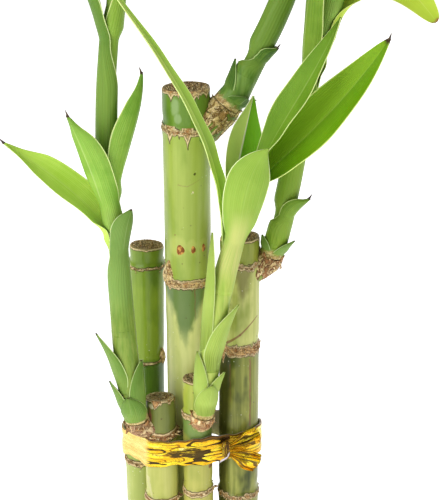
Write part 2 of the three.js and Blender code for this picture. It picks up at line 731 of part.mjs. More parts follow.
// A shoot: its stem, and its leaves one inside the other
function shoot(name) {
  const group = new THREE.Group();
  add(group, `stem_${name}`, stemGeometry(name), COLOURS.stem, 0.45);
  let below;
  let floor = STEMS[name].bareTo + CORE_FROM;
  LEAVES[name].forEach((spec) => {
    const leaf = { ...spec, from: spec.from ?? sheathFoot(below, floor) };
    add(group, leaf.name, leafGeometry(SHOOTS[name], leaf, below?.mouth), COLOURS.leaf, 0.45);
    if (!leaf.within) {
      floor = below ? below.mouth + FLARE : floor;
      below = leaf;
    }
  });
  return group;
}

function tie() {
  const group = new THREE.Group();
  add(group, "foil_band", tieGeometry(), COLOURS.foil, 0.25, 0.9);
  add(group, "foil_knot", knotGeometry(), COLOURS.foil, 0.25, 0.9);
  return group;
}

const luckyBamboo = new THREE.Group();
luckyBamboo.add(canes(), tie(), ...Object.keys(SHOOTS).map(shoot));

export default luckyBamboo;
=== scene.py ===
"""Lucky bamboo: six cut canes in a foil tie, with four leafy shoots.

Sizes are in millimetres until a mesh is made. +Z is up, +X right and +Y away from the viewer.
"""
import math

import bpy
import numpy as np
from mathutils import Matrix, Vector


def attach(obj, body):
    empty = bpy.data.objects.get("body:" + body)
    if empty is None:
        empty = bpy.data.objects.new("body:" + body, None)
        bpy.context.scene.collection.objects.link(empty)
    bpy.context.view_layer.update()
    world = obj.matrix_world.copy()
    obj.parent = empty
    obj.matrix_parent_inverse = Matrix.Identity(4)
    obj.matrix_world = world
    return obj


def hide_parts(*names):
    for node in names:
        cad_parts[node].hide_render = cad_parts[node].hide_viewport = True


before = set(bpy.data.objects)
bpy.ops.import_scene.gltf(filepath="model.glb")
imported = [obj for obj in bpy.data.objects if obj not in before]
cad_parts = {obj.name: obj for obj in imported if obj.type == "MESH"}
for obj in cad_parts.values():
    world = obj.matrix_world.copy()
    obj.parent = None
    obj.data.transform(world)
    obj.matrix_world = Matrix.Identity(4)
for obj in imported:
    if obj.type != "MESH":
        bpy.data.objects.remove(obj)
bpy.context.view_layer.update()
MM = 0.001


# Canes: foot and top centres, radius at the foot and at the top, and the heights of the node rings.
# slope tilts the cut top: rise in z for each millimetre along x and along y. seed varies the skin's relief.
NODE_RIDGE = 0.45
RIM = 0.7
FOOT_RIM = 1.2
CANES = {
    "cane_tall": dict(
        foot=(0, 0), top=(-1.2, 0), height=203, radii=(7.5, 8.4), nodes=(24, 79, 134.5, 189.5),
        slope=(0.03, 0.02), seed=1.3, slot="cane"),
    "cane_back_left": dict(
        foot=(-16.6, 12.0), top=(-15.9, 12.3), height=142.5, radii=(5.9, 6.2), nodes=(31, 65.5, 100, 136),
        slope=(-0.02, 0.03), seed=2.7, slot="cane_dark"),
    "cane_front_left": dict(
        foot=(-9.7, -12.4), top=(-10.8, -12.0), height=93.4, radii=(6.7, 5.4), nodes=(22, 56, 81),
        slope=(0.02, -0.04), seed=3.1, slot="cane_pale"),
    "cane_far_left": dict(
        foot=(-17.3, -0.4), top=(-18.4, -0.6), height=84, radii=(5.9, 5.7), nodes=(17, 44, 66),
        slope=(0.03, 0.03), seed=4.9, slot="cane"),
    "cane_front": dict(
        foot=(3.4, -14.2), top=(2.2, -13.2), height=101, radii=(5.8, 4.9), nodes=(28, 59.6, 88.5),
        slope=(-0.04, 0.03), seed=5.2, slot="cane_pale"),
    "cane_right": dict(
        foot=(17.0, -7.2), top=(17.4, -7.2), height=151.4, radii=(7.2, 7.0), nodes=(14, 56, 112, 143),
        slope=(0.05, 0.02), seed=6.6, slot="cane_dark"),
}
# Stubs that the shoots grow from: a boss bends out of a cane, from its root inside to the shoot's foot
BOSSES = {
    "cane_tall": dict(shoot="tall", root=(2.5, -0.5, 187), radii=(6.8, 5.3)),
    "cane_front_left": dict(shoot="left", root=(-12.8, -13.2, 82.6), radii=(3.3, 4.2)),
    "cane_front": dict(shoot="front", root=(3.4, -15.5, 85.6), radii=(3.6, 4.0)),
    "cane_right": dict(shoot="right", root=(19.5, -7.2, 138), radii=(4.6, 4.2)),
}
# Bud scars beside a node, and root spots: bearing from +X towards +Y in degrees, height, width, length
BUDS = {
    "cane_tall": dict(at=(-7.2, -4.7, 137.2), size=(2.5, 1.4, 5.0)),
    "cane_back_left": dict(at=(-10.6, 9.2, 101), size=(1.2, 1.2, 3.2)),
}
SPOTS = {
    "cane_tall": ((252, 146.5, 3.2, 4.0), (285, 146.6, 1.7, 2.8), (314, 146.8, 1.8, 3.0)),
}
# Shoots: points on each centre line, bottom to top, and the girth at the foot and at the top, as a share
# of the common stem and sheath radii
SHOOTS = {
    "left": dict(girth=(1.02, 0.88), path=[
        (-18.9, -16.8, 86.6), (-20.0, -17.4, 92.2), (-21.0, -16.8, 98.4), (-22.7, -14.0, 112),
        (-24.4, -11.4, 132.9), (-25.9, -9.6, 154.2), (-28.0, -8.2, 175.1), (-27.8, -7.0, 199.5),
        (-26.6, -6.0, 216.8), (-25.0, -5.0, 233.7), (-23.4, -4.0, 250.3), (-22.0, -3.0, 266),
        (-20.8, -2.2, 284)]),
    "front": dict(girth=(0.92, 0.86), path=[
        (4.6, -21.8, 90.6), (5.2, -22.8, 95.4), (6.2, -23.0, 105.6), (8.8, -22.6, 125.8),
        (12.6, -22.0, 143.7), (16.4, -21.5, 158.6), (20.0, -21.0, 175.3), (22.6, -20.6, 189)]),
    "right": dict(girth=(0.98, 1), path=[
        (28.4, -7.1, 144.6), (30.2, -7.5, 150.9), (32.0, -8.0, 158.6), (34.4, -8.0, 170.1),
        (37.2, -8.0, 186), (40.4, -7.4, 199.7), (44.8, -6.6, 219), (48.6, -6.0, 236), (52.2, -5.4, 251),
        (55.4, -5, 264)]),
    "tall": dict(girth=(1.08, 0.97), path=[
        (12.9, -1.0, 196.9), (16.4, -1.2, 201.8), (20.2, -1.2, 209.4), (24.2, -1.0, 217.2),
        (28.3, -0.6, 225.4), (32.6, 0, 236), (36.4, 0.8, 248.6), (39.6, 1.6, 262), (41.8, 2.4, 276),
        (43.4, 3, 287), (44.6, 3.4, 300)]),
}
# Stems: where the bare stem and the core end, and the radius at the foot. bracts: small scales on the
# stem, with their side in degrees from +X towards +Y, the heights of foot and tip, half width and lift
STEMS = {
    "left": dict(bare_to=119, ends=262, foot=4.08, bracts=[
        (262, 87.6, 96.5, 6.2, 0.9), (330, 89, 108, 5.4, 1.4), (190, 88.5, 102, 5.0, 2.2),
        (196, 97, 119, 5.6, 5.2)]),
    "front": dict(bare_to=138, ends=180, foot=4.0, bracts=[
        (215, 93, 115, 4.8, 1.3), (290, 92.4, 104, 5.4, 1.2), (335, 97, 108.5, 4.6, 1.8),
        (340, 108, 133.5, 7.0, 2.9), (206, 112, 156, 4.0, 4.8)]),
    "right": dict(bare_to=150, ends=244, foot=4.2, bracts=[
        (200, 145.6, 151.5, 3.8, 1.0), (330, 145.2, 152.5, 4.4, 2.2)]),
    "tall": dict(bare_to=207.5, ends=276, foot=4.9, bracts=[
        (300, 198.2, 202.4, 4.6, 2.2), (340, 197.6, 202.5, 4.4, 2.4), (188, 198.2, 210.5, 5.0, 0.6)]),
}
# Leaves, outermost first: name, side of the midrib, height of the sheath's mouth, tip, half the flat
# width, half the blade's arc in degrees, the arch's rise and bow, twist, and then what differs. open is
# half the mouth's arc, and the sheath opens to it over its gape; a leaf that is within stands inside the
# sheath before it; broad is where the blade is broadest, as a share of its length; blunt is how round its
# point is; drawn is how far the point is drawn out; dry gives it a dry tip.
LEAVES = {
    "left": [
        ("short", 305, 147, (-20.0, -15.8, 163.6), 5.0, 58, 6, 1, 0,
         dict(look="left_first", foot=119.4, gape=14, open=74, drawn=0.15, dry=False)),
        ("low", 148, 153, (-65.3, 2, 183), 7.0, 42, 9, 1, -22, dict(look="bright", open=90)),
        ("front", 232, 163, (-40.4, -21, 197.6), 7.4, 55, 10, 2, 0, dict(look="fresh")),
        ("mid", 338, 171, (-16.2, -8, 209.6), 8.2, 58, 9, 2, 0, dict(look="fresh", lean=4)),
        ("high", 186, 220, (-47, -8, 264), 5.2, 68, 12, 2, 0, dict(look="reed", gape=18, open=86)),
        ("upper", 14, 242, (-3, -1, 286), 7.2, 48, 12, 4, 10, dict(look="whole", gape=22)),
        ("back", 120, 251, (-41, 25, 298), 6.6, 46, 14, 5, 0, dict(look="fresh")),
        ("crown", 268, 259, (-19, -25, 305), 5.8, 52, 15, 5, 0, dict(look="fresh")),
        ("spear", 60, 267, (-16, 2, 318), 4.4, 88, 16, 0, 0, dict(look="pale"))],
    "front": [
        ("sheath", 279, 154, (26.4, -32.4, 189.0), 7.7, 38, 9, 2, -4,
         dict(look="front_first", foot=138.4, gape=15.6, open=88, broad=0.56, lean=-5, blunt=1.0, drawn=0,
              dry=False)),
        ("long", 136, 146, (-32, -20, 249), 2.6, 44, 0, 7, 0, dict(
            look="strap", foot=141.5, within=True, drawn=0, dry=False, open=24, towards=(13.5, -18.5, 180),
            reach=0.187)),
        ("back", 150, 163, (22.0, -6, 201.0), 8.4, 40, 10, 0, -36, dict(
            look="vivid", foot=150.5, open=74, drawn=0.2, dry=False)),
        ("large", 36, 172.5, (66.7, -18.5, 223.1), 9.6, 34, 6, -9, 14, dict(
            look="deep", open=66, drawn=0, broad=0.5, blunt=0.72)),
        ("narrow", 20, 181, (49.8, -24, 230.8), 6.8, 44, 13, -6, 24, dict(
            look="whole", open=62, drawn=0, dry=False))],
    "right": [
        ("short", 322, 160, (41.2, -12.6, 166.6), 5.4, 60, 2.8, 0, 0,
         dict(look="right_first", foot=150.4, gape=5, open=78)),
        ("low", 205, 208, (42, -30, 260), 6.2, 58, 14, 4, 0, dict(look="sheath", gape=16, open=84)),
        ("back", 138, 217, (52, 32, 265), 7.2, 46, 14, 6, 0, dict(look="fresh")),
        ("hanging", 30, 226, (83.3, -8, 226.6), 8.8, 24, 24, 7, 42, dict(
            look="hanging", reach=0.27, blunt=0.42, drawn=0.15, dry=False)),
        ("crown", 270, 235, (60, -32, 286), 6.0, 48, 14, 6, 0, dict(look="fresh")),
        ("spear", 190, 243, (56, -4, 296), 4.6, 86, 16, 0, 0, dict(look="pale"))],
    "tall": [
        ("short", 332, 213.4, (30.0, -5.4, 217.4), 5.0, 56, 3, 0, 0,
         dict(look="tall_first", foot=208.2, gape=4, open=70)),
        ("low", 318, 248, (50, -28, 294), 7.6, 44, 10, 5, 0, dict(look="dark", gape=22, open=82)),
        ("mid", 186, 256, (12, -2, 302), 7.2, 46, 14, 5, 0, dict(look="dark", open=88)),
        ("back", 75, 264, (47, 34, 309), 6.6, 46, 14, 5, 0, dict(look="deep")),
        ("crown", 235, 271, (25, -20, 315), 5.8, 50, 14, 5, 0, dict(look="deep")),
        ("spear", 20, 278, (48, 4, 325), 4.4, 88, 15, 0, 0, dict(look="fresh"))],
}
YOUNG = ("leaf_front_long", "leaf_front_sheath", "leaf_right_hanging")
# Sheaths wrap the stem in two nested layers. Each flares past the mouth below, and tucks in under it.
BLADE = 0.6
INNER_SHEATH = 2.2
OUTER_SHEATH = 3.7
SHEATH_SPREAD = 158
MOUTH_SPREAD = 95
FLARE = 5
GAPE = 12
TUCK = 2
FIRST_OVERLAP = 2.4
FIRST_SWELL = 0.1
# Blades: the common arch and outline, and the dry tip's length and how far it starts inside the blade
DEPARTURE = 0.22
REACH = 0.55
FLATTEN = 10
BROAD = 0.35
POINT = 0.85
TIP_HALF = 0.3
DRY_TIP = 2.6
DRY_TIP_SUNK = 0.8
# Stems: their radius, the core's, and the seat of the first sheath
BARE_STEM = 4.35
CORE = 1.62
CORE_FROM = 3.2
SEAT_GAP = 0.7
SEAT_HEIGHT = 1.2
SEAM = 0.3
# The foil tie: a crumpled strip round the bundle, the knot's neck, its two fans and a curled end
TIE = dict(middle=75.0, lean=0.08, width=9.6, thick=0.7)
NECK = dict(centre=(12.6, -19.4, 76.2), size=(2.4, 1.5, 3.2), pleats=5.5)
# hole: how strongly a painted shadow darkens a fan's curled middle
FANS = [
    dict(root=(13.4, -19.4, 77.4), tip=(24.0, -17.2, 81.0), half=3.0, wave=0.5, hole=0.9, pleats=5.2),
    dict(root=(13.2, -19.6, 75.0), tip=(23.8, -18.6, 70.6), half=4.0, wave=-0.5, hole=0.0, pleats=6.4),
]
# Fans: half width at the knot, distance before the knot, the film's thickness and its gathered width
FAN_ROOT = 0.9
FAN_LIFT = 0.35
FAN_FILM = 0.16
FAN_GATHER = 3.4
# The curled end's middle line
CURL = [
    (13.6, -21.3, 75.6), (13.3, -21.6, 74.2), (11.8, -21.5, 73.2), (10.6, -21.3, 72.4), (10.0, -21.2, 71.0)]
# Torn scales round each node ring and stub, and the fibre ends on a cut
RING_SCALES = dict(places=52, length=1.1, out=0.25)
STUB_SCALES = 11
CUT_FIBRES = dict(density=2.2, inset=0.8)
# How finely the pieces are divided: CANE_ROWS is rows for each millimetre, SHEATH_STEP is millimetres
# between rows, and a blade's last share, POINT_SHARE, has rows of its own
CANE_SIDES = 88
CANE_ROWS = 1.9
CUT_RINGS = 12
SHEATH_STEP = 1.3
BLADE_ROWS = 70
POINT_ROWS = 14
POINT_SHARE = 0.085
PATH_STEPS = 48
ARC_POINTS = 25
STRIP_ROWS = 40
FAN_COLUMNS, FAN_ROWS = 72, 44

# Wires: sums and nodes of a tree


class Wire:
    """A socket's value. Arithmetic on it adds the tree's Math nodes."""

    def __init__(self, net, socket):
        self.net = net
        self.socket = socket

    def math(self, operation, *others):
        return self.net.math(operation, self, *others)

    def __add__(self, other):
        return self.net.math("ADD", self, other)

    def __radd__(self, other):
        return self.net.math("ADD", other, self)

    def __sub__(self, other):
        return self.net.math("SUBTRACT", self, other)

    def __rsub__(self, other):
        return self.net.math("SUBTRACT", other, self)

    def __mul__(self, other):
        return self.net.math("MULTIPLY", self, other)

    def __rmul__(self, other):
        return self.net.math("MULTIPLY", other, self)

    def __truediv__(self, other):
        return self.net.math("DIVIDE", self, other)

    def __lt__(self, other):
        return self.net.math("LESS_THAN", self, other)

    def __gt__(self, other):
        return self.net.math("GREATER_THAN", self, other)

    def __abs__(self):
        return self.net.math("ABSOLUTE", self)

    def rise(self, low, high):
        """0 below low, 1 above high, smooth between. Falls instead where low is above high."""
        ends = (low, high, 0.0, 1.0) if low < high else (high, low, 1.0, 0.0)
        return self.net.add(
            "ShaderNodeMapRange", {"interpolation_type": "SMOOTHSTEP"}, self, *ends)[0]

    def hill(self, middle, width):
        """A bell of height 1 round a middle."""
        share = (self - middle) / width
        return (share * share * -1.0).math("EXPONENT")

    def line(self, middle, outside, inside):
        """1 within inside of a middle, 0 from outside on."""
        return abs(self - middle).rise(outside, inside)

    def held(self):
        """Kept from 0 to 1."""
        return self.math("MAXIMUM", 0.0).math("MINIMUM", 1.0)


class Made:
    """A node that was added: its outputs by name or number."""

    def __init__(self, net, node):
        self.net = net
        self.outputs = node.outputs

    def __getitem__(self, key):
        return Wire(self.net, self.outputs[key])


class Net:
    """The nodes of one tree."""

    def __init__(self, tree):
        self.tree = tree

    def put(self, socket, value):
        if isinstance(value, Wire):
            self.tree.links.new(value.socket, socket)
        elif value is not None:
            if socket.type == "RGBA" and len(value) == 3:
                value = (*value, 1.0)
            socket.default_value = value

    def add(self, kind, settings=None, *ordered, **named):
        """A node of a type: its settings first, then its sockets in order and by name."""
        node = self.tree.nodes.new(kind)
        for name, value in (settings or {}).items():
            setattr(node, name, value)
        for socket, value in zip(node.inputs, ordered):
            self.put(socket, value)
        for name, value in named.items():
            self.put(node.inputs[name.replace("_", " ")], value)
        return Made(self, node)

    def math(self, operation, *values):
        return self.add("ShaderNodeMath", {"operation": operation}, *values)[0]

    def vector(self, x, y, z):
        return self.add("ShaderNodeCombineXYZ", None, x, y, z)[0]

    def split(self, vector):
        parts = self.add("ShaderNodeSeparateXYZ", None, vector)
        return parts[0], parts[1], parts[2]

    def move(self, operation, a, b):
        return self.add("ShaderNodeVectorMath", {"operation": operation}, a, b)[0]

    def mix(self, share, a, b, blend="MIX"):
        """Two colours mixed."""
        node = self.tree.nodes.new("ShaderNodeMix")
        node.data_type = "RGBA"
        node.blend_type = blend
        for index, value in ((0, share), (6, a), (7, b)):
            self.put(node.inputs[index], value)
        return Wire(self, node.outputs[2])

    def noise(self, vector, scale, detail=3.0, rough=0.55):
        return self.add(
            "ShaderNodeTexNoise", {"noise_dimensions": "3D"},
            Vector=vector, Scale=scale, Detail=detail, Roughness=rough)[0]

    def cells(self, vector, scale):
        return self.add("ShaderNodeTexVoronoi", {"feature": "F1"}, Vector=vector, Scale=scale)[0]

    def attribute(self, name):
        return self.add("ShaderNodeAttribute", {"attribute_name": name})["Fac"]

    def stored(self, geometry, name, value):
        """Geometry with a number stored on each of its points."""
        return self.add(
            "GeometryNodeStoreNamedAttribute", {"data_type": "FLOAT", "domain": "POINT"},
            Geometry=geometry, Name=name, Value=value)[0]


# Finishes


def tone(red, green, blue):
    """A colour seen on a screen, 0 to 255, as the light it stands for."""
    def channel(value):
        value /= 255
        return value / 12.92 if value <= 0.04045 else ((value + 0.055) / 1.055) ** 2.4
    return (channel(red), channel(green), channel(blue))


# Colours that several finishes share
PATCH = tone(70, 107, 42)
TAN = tone(224, 190, 126)
HOLLOW = tone(174, 126, 72)
DARK_LINE = tone(92, 64, 30)
PALE_EDGE = tone(244, 222, 170)
RED_TINT = tone(226, 190, 170)
BROWN = tone(132, 84, 50)
RED_BROWN = tone(150, 96, 74)
HALO = tone(204, 208, 112)
CREAM = tone(222, 210, 170)
PALE_SPECK = tone(226, 226, 196)
DARK_SPECK = tone(96, 74, 44)
PORE = tone(66, 50, 26)
FIBRE = tone(232, 214, 166)
YELLOWED = tone(108, 140, 46)
BURNT = (0.085, 0.045, 0.023)
PITH = (tone(108, 86, 48), tone(170, 148, 96))


class Finish:
    """A material being made: its tree, its places and its shader."""

    def __init__(self, name, **constants):
        self.material = bpy.data.materials.new(name)
        self.material.use_nodes = True
        self.net = Net(self.material.node_tree)
        self.shader = self.material.node_tree.nodes["Principled BSDF"]
        for key, value in constants.items():
            self.net.put(self.shader.inputs[key.replace("_", " ")], value)
        place = self.net.add("ShaderNodeTexCoord")["Object"]
        self.place = self.net.move("MULTIPLY", place, (1 / MM, 1 / MM, 1 / MM))

    def stretched(self, x, y, z):
        return self.net.move("MULTIPLY", self.place, (x, y, z))

    def done(self, colour, roughness=None, height=None, depth=0.3, metallic=None):
        self.net.put(self.shader.inputs["Base Color"], colour)
        self.net.put(self.shader.inputs["Roughness"], roughness)
        self.net.put(self.shader.inputs["Metallic"], metallic)
        if height is not None:
            bump = self.net.add(
                "ShaderNodeBump", None, Strength=1.0, Distance=depth * MM, Height=height)["Normal"]
            self.net.put(self.shader.inputs["Normal"], bump)
        return self.material


def crust_colour(net, place, red=0.0):
    """Dry tissue: tan folds, brown hollows and dark creases. red: how far it turns reddish."""
    layers = net.noise(net.move("MULTIPLY", place, (0.42, 0.42, 0.9)), 1.0, 3.0, 0.5)
    grain = net.noise(place, 1.3, 3.0, 0.6)
    dry = net.mix(layers.rise(0.40, 0.62), TAN, HOLLOW)
    dry = net.mix(grain.rise(0.52, 0.66) * 0.75, dry, PALE_EDGE)
    lines = layers.line(0.52, 0.03, 0.006)
    dry = net.mix(lines * 0.7, dry, DARK_LINE)
    folds = net.noise(net.move("MULTIPLY", place, (0.7, 0.7, 1.1)), 1.0, 2.0, 0.5)
    dry = net.mix(folds.line(0.47, 0.035, 0.012) * 0.6, dry, DARK_LINE)
    dry = net.mix(folds.line(0.54, 0.03, 0.01) * 0.7, dry, PALE_EDGE)
    if red:
        dry = net.mix(red, dry, RED_TINT, "MULTIPLY")
    return dry


def edged(net, colour, depth, skin):
    """Dry tissue laid on skin: a dark outline, a light raised edge, the tissue's colour further in."""
    dry = net.mix(depth.hill(0.32, 0.30) * 0.85, colour, PALE_EDGE)
    dry = net.mix(depth.hill(0.80, 0.22) * 0.5, dry, DARK_LINE)
    laid = net.mix(depth.rise(-0.10, 0.10), skin, dry)
    return net.mix(depth.hill(-0.06, 0.15) * 0.75, laid, DARK_LINE)


def stroke(x, z, start, finish, wide, narrow):
    """A mask of a line drawn from start to finish, in x and z, that narrows on its way."""
    dx, dz = finish[0] - start[0], finish[1] - start[1]
    share = ((x - start[0]) * dx + (z - start[1]) * dz) / (dx * dx + dz * dz)
    share = share.held()
    off_x = x - start[0] - share * dx
    off_z = z - start[1] - share * dz
    far = (off_x * off_x + off_z * off_z).math("SQRT")
    return (far - (wide + (narrow - wide) * share)).rise(0.14, -0.14)


def fleck(x, z, centre, half_wide, half_tall):
    """A mask of an oval mark."""
    off_x = (x - centre[0]) / half_wide
    off_z = (z - centre[1]) / half_tall
    return (off_x * off_x + off_z * off_z).rise(1.3, 0.3)


# farther than any dry tissue reaches from its ring
BEYOND = 9.0


def cane_finish(name, skins, wedges=(), strokes=(), flecks=(), points=(), streaky=0.45, mottle=0.5,
                rim=0.7, drip=4.0, ring=1.0, wide_rings=(), red=0.0, torn=0.5, rim_drip=3.0, pith=PITH):
    """Cane skin. skins: from each height up, its light, green and dark; wedges: hanging patches under a
    node, and painted shade where one runs far down a side, (height, reach, middle, half width, colour,
    strength); strokes and flecks: single marks, some of the flecks painted highlights; points: drips of
    dry tissue, (x, height, length, half width); rim: depth of the dry rim round the cut; drip and rim_drip:
    how far lobes hang from the rings and from the rim; ring: half width of the node rings; wide_rings:
    (height, added half width); red: how reddish the dry tissue is; torn: how ragged its edges are; pith:
    the cut face's dark and light."""
    made = Finish(name, IOR=1.45, Specular_IOR_Level=0.35, Coat_Weight=0.16, Coat_Roughness=0.18)
    net = made.net
    under = net.attribute("under") > 0.5
    near = net.attribute("gap") * (1.0 - under * 2.0)
    top = net.attribute("from_top")
    facing = net.attribute("facing")
    cut = net.attribute("cut")
    place_x, _, place_z = net.split(made.place)
    streaks = net.noise(made.stretched(0.8, 0.8, 0.03), 1.0, 4.0, 0.6)
    cloud = net.noise(made.stretched(0.11, 0.11, 0.05), 1.0, 3.0)
    fine = net.noise(made.stretched(2.4, 2.4, 0.10), 1.0, 3.0)
    light, green, dark = skins[0][1:]
    for level, *greens in skins[1:]:
        above = place_z.rise(level - 1.0, level + 1.0)
        light, green, dark = (net.mix(above, a, b) for a, b in zip((light, green, dark), greens))
    base = net.mix(streaks.rise(0.3, 0.7) * streaky, light, green)
    base = net.mix(cloud.rise(0.46, 0.66) * mottle, base, dark)
    base = net.mix(fine.rise(0.52, 0.75) * 0.22 * streaky, base, light)
    base = net.mix(near.hill(-3.0, 3.0) * 0.35, base, green)
    front = facing.rise(-0.15, 0.2)
    wander = (net.noise(made.stretched(0.35, 0.35, 0.18), 1.0, 3.0) - 0.5) * 7.0
    # hanging patches under a node, and long wedges of painted shade down a side
    for level, reach, middle, half, colour, strength in wedges:
        below = level - place_z
        edge = (1.0 - below / reach) * half - abs(place_x - middle) + wander * (0.25 + below / reach * 0.5)
        mask = edge.rise(-0.6, 2.0) * (below > 0.0) * below.rise(reach * 1.15, reach * 0.6) * front
        base = net.mix(mask * strength, base, colour)
    # small pale and dark specks
    specks = net.cells(made.place, 0.62)
    pale = specks.rise(0.15, 0.08) * net.noise(made.place, 0.07).rise(0.52, 0.6)
    base = net.mix(pale * 0.75, base, PALE_SPECK)
    aside = (31.0, 17.0, 5.0)
    marks = net.cells(net.move("ADD", made.place, aside), 0.3)
    dots = marks.rise(0.11, 0.06) * net.noise(made.place, 0.1).rise(0.5, 0.58)
    base = net.mix(dots * 0.8, base, DARK_SPECK)
    # single marks on the front, drawn with an unsteady hand; some flecks are painted highlights
    hand = net.noise(made.place, 0.5, 3.0) - 0.5
    drawn_x, drawn_z = place_x + hand * 1.1, place_z + hand * 0.9
    for start, finish, wide, narrow, colour, strength in strokes:
        mask = stroke(drawn_x, drawn_z, start, finish, wide, narrow) * front
        base = net.mix(mask * strength, base, colour)
    for centre, half_wide, half_tall, colour, strength in flecks:
        mask = fleck(drawn_x, drawn_z, centre, half_wide, half_tall) * front
        base = net.mix(mask * strength, base, colour)
    # the dry ring, its pointed drips and the dry rim of the cut, as depths inside their edges
    ragged = (net.noise(made.place, 0.6, 4.0, 0.65) - 0.5) * 1.9
    lobes = net.noise(made.stretched(0.42, 0.42, 0.012), 1.0, 1.0).rise(0.50, 0.78)
    half_ring = ring
    for level, more in wide_rings:
        half_ring = (abs(place_z - level) < BEYOND) * more + half_ring
    depth = (near * -1.0 + ragged * torn + half_ring).math(
        "MINIMUM", near + ragged * torn + lobes * lobes * drip + half_ring)
    rim_depth = net.noise(made.stretched(0.36, 0.36, 0.03), 1.0, 2.0).rise(0.48, 0.75) * rim_drip + rim
    depth = depth.math("MAXIMUM", rim_depth - top - ragged * 0.4)
    for at, level, length, half in points:
        run = (level - place_z) / length
        slim = (1.0 - run.held()).math("POWER", 1.7) * half
        drop = slim - abs(place_x + hand * 0.8 - at) - (run < -0.2) * BEYOND - (run > 1.0) * BEYOND
        depth = depth.math("MAXIMUM", drop - (1.0 - front) * BEYOND)
    dry = depth.rise(-0.1, 0.1)
    base = edged(net, crust_colour(net, made.place, red), depth, base)
    # the cut face: pale fibres and dark pores
    pores = net.cells(made.place, 2.1)
    face = net.mix(net.noise(made.place, 0.9, 3.0, 0.6).rise(0.42, 0.58), *pith)
    face = net.mix(pores.rise(0.30, 0.12) * 0.7, face, PORE)
    face = net.mix(net.noise(made.place, 1.1, 3.0, 0.6).rise(0.56, 0.62), face, FIBRE)
    colour = net.mix(cut.rise(0.05, 0.3), base, face)
    dullness = dry.math("MAXIMUM", cut) * 0.45 + 0.27 + streaks * 0.1 + fine * 0.05
    height = (
        streaks * 0.2 + fine * 0.12 + dry * net.noise(made.place, 1.2, 3.0, 0.6) * 1.2
        + depth.hill(0.32, 0.34) * 1.1 + dry * 0.5 + cut * pores * 2.0 - dots * 0.4)
    return made.done(colour, dullness, height, 0.32)


def stem_colour(net, place, light, green, dark):
    """The skin of a stem and of the sheath that starts on it."""
    streaks = net.noise(net.move("MULTIPLY", place, (0.9, 0.9, 0.05)), 1.0, 4.0, 0.6)
    cloud = net.noise(net.move("MULTIPLY", place, (0.12, 0.12, 0.06)), 1.0, 3.0)
    base = net.mix(streaks.rise(0.35, 0.7), light, green)
    return net.mix(cloud.rise(0.48, 0.72) * 0.6, base, dark), streaks


def leaf_finish(name, light, deep, sheath, margin, foot=None, streak=0.4, singe=0.975, rib=0.3, split=0.0,
                belly=0.0, burnt=BURNT, relief=0.1):
    """Leaf skin: fine veins along it, a pale margin, a paler sheath and a dry tip. foot is the stem's
    light, green and dark, where the sheath starts on the bare stem; streak: how streaky it is; singe:
    where along it the dry tip starts; rib: how pale the midrib is; split: painted light and shade, how
    much lighter one half is painted and the other darker; belly: how pale the lower middle is; burnt: the
    dry tip's colour; relief: the height of its veins."""
    made = Finish(
        name, IOR=1.42, Specular_IOR_Level=0.2, Subsurface_Weight=0.05, Subsurface_Scale=0.001,
        Coat_Weight=0.03, Coat_Roughness=0.3)
    net = made.net
    across = net.attribute("across")
    along = net.attribute("along")
    length = net.attribute("length")
    width = abs(across)
    wander = net.noise(net.vector(across * 3.0, length * 0.03, along), 1.0, 2.0)
    veins = (across * 70.0 + wander * 4.0).math("SINE")
    coarse = net.noise(net.vector(across * 15.0, length * 0.02, 0.0), 1.0, 4.0, 0.6)
    patchy = net.noise(made.place, 0.08, 3.0)
    shade = coarse.rise(0.3, 0.7) * streak + patchy.rise(0.35, 0.65) * 0.5
    base = net.mix(shade, light, deep)
    base = net.mix(along.rise(0.25, 0.9) * 0.4, base, deep)
    base = net.mix(along.rise(0.5, 0.1) * width.rise(0.85, 0.15) * 0.45, base, light)
    blade = along.rise(0.0, 0.2)
    # split: painted light on one half of the blade and painted shade on the other
    if split:
        half = across.rise(0.05, -0.02)
        base = net.mix(half * blade * split, base, light)
        base = net.mix((1.0 - half) * blade * split, base, deep)
    if belly:
        middle = width.rise(0.75, 0.2) * along.rise(0.45, 0.1) * (coarse * 0.8 + 0.4)
        base = net.mix(middle * belly, base, sheath)
    base = net.mix(veins.rise(0.2, 1.0) * 0.10, base, sheath)
    base = net.mix(width.rise(0.06, 0.01) * blade * rib, base, margin)
    base = net.mix(along.rise(0.16, -0.3), base, net.mix(coarse.rise(0.35, 0.7) * 0.7, sheath, light))
    if foot:
        skin, _ = stem_colour(net, made.place, *foot)
        base = net.mix(along.rise(-0.45, -0.98), base, skin)
    edge = width.rise(0.935, 0.97) * along.rise(-0.98, -0.6)
    base = net.mix(edge * 0.95, base, margin)
    burn = net.noise(made.place, 0.6, 3.0)
    tip = (along + (burn - 0.5) * 0.03).rise(singe, singe + 0.014)
    base = net.mix(tip, base, burnt)
    scuff = net.noise(net.vector(across * 16.0, length * 0.25, 3.0), 1.0, 2.0).rise(0.76, 0.8)
    base = net.mix(scuff * min(0.25, relief * 2.5), base, margin)
    dullness = coarse * 0.14 + 0.36 + tip * 0.3
    height = veins * 0.3 + coarse * 0.7 + edge * 0.5
    return made.done(base, dullness, height, relief)


def stem_finish(name, light, green, dark):
    """Stem skin: smooth, with long faint streaks and a tan foot."""
    made = Finish(
        name, IOR=1.42, Specular_IOR_Level=0.3, Subsurface_Weight=0.06, Subsurface_Scale=0.001,
        Coat_Weight=0.08, Coat_Roughness=0.3)
    net = made.net
    along = net.attribute("along")
    base, streaks = stem_colour(net, made.place, light, green, dark)
    foot = (along + (net.noise(made.place, 0.5) - 0.5) * 0.05).rise(0.035, 0.01)
    base = net.mix(foot * 0.8, base, crust_colour(net, made.place))
    return made.done(base, 0.34 + streaks * 0.12, streaks * 0.6 + foot * 0.4, 0.16)


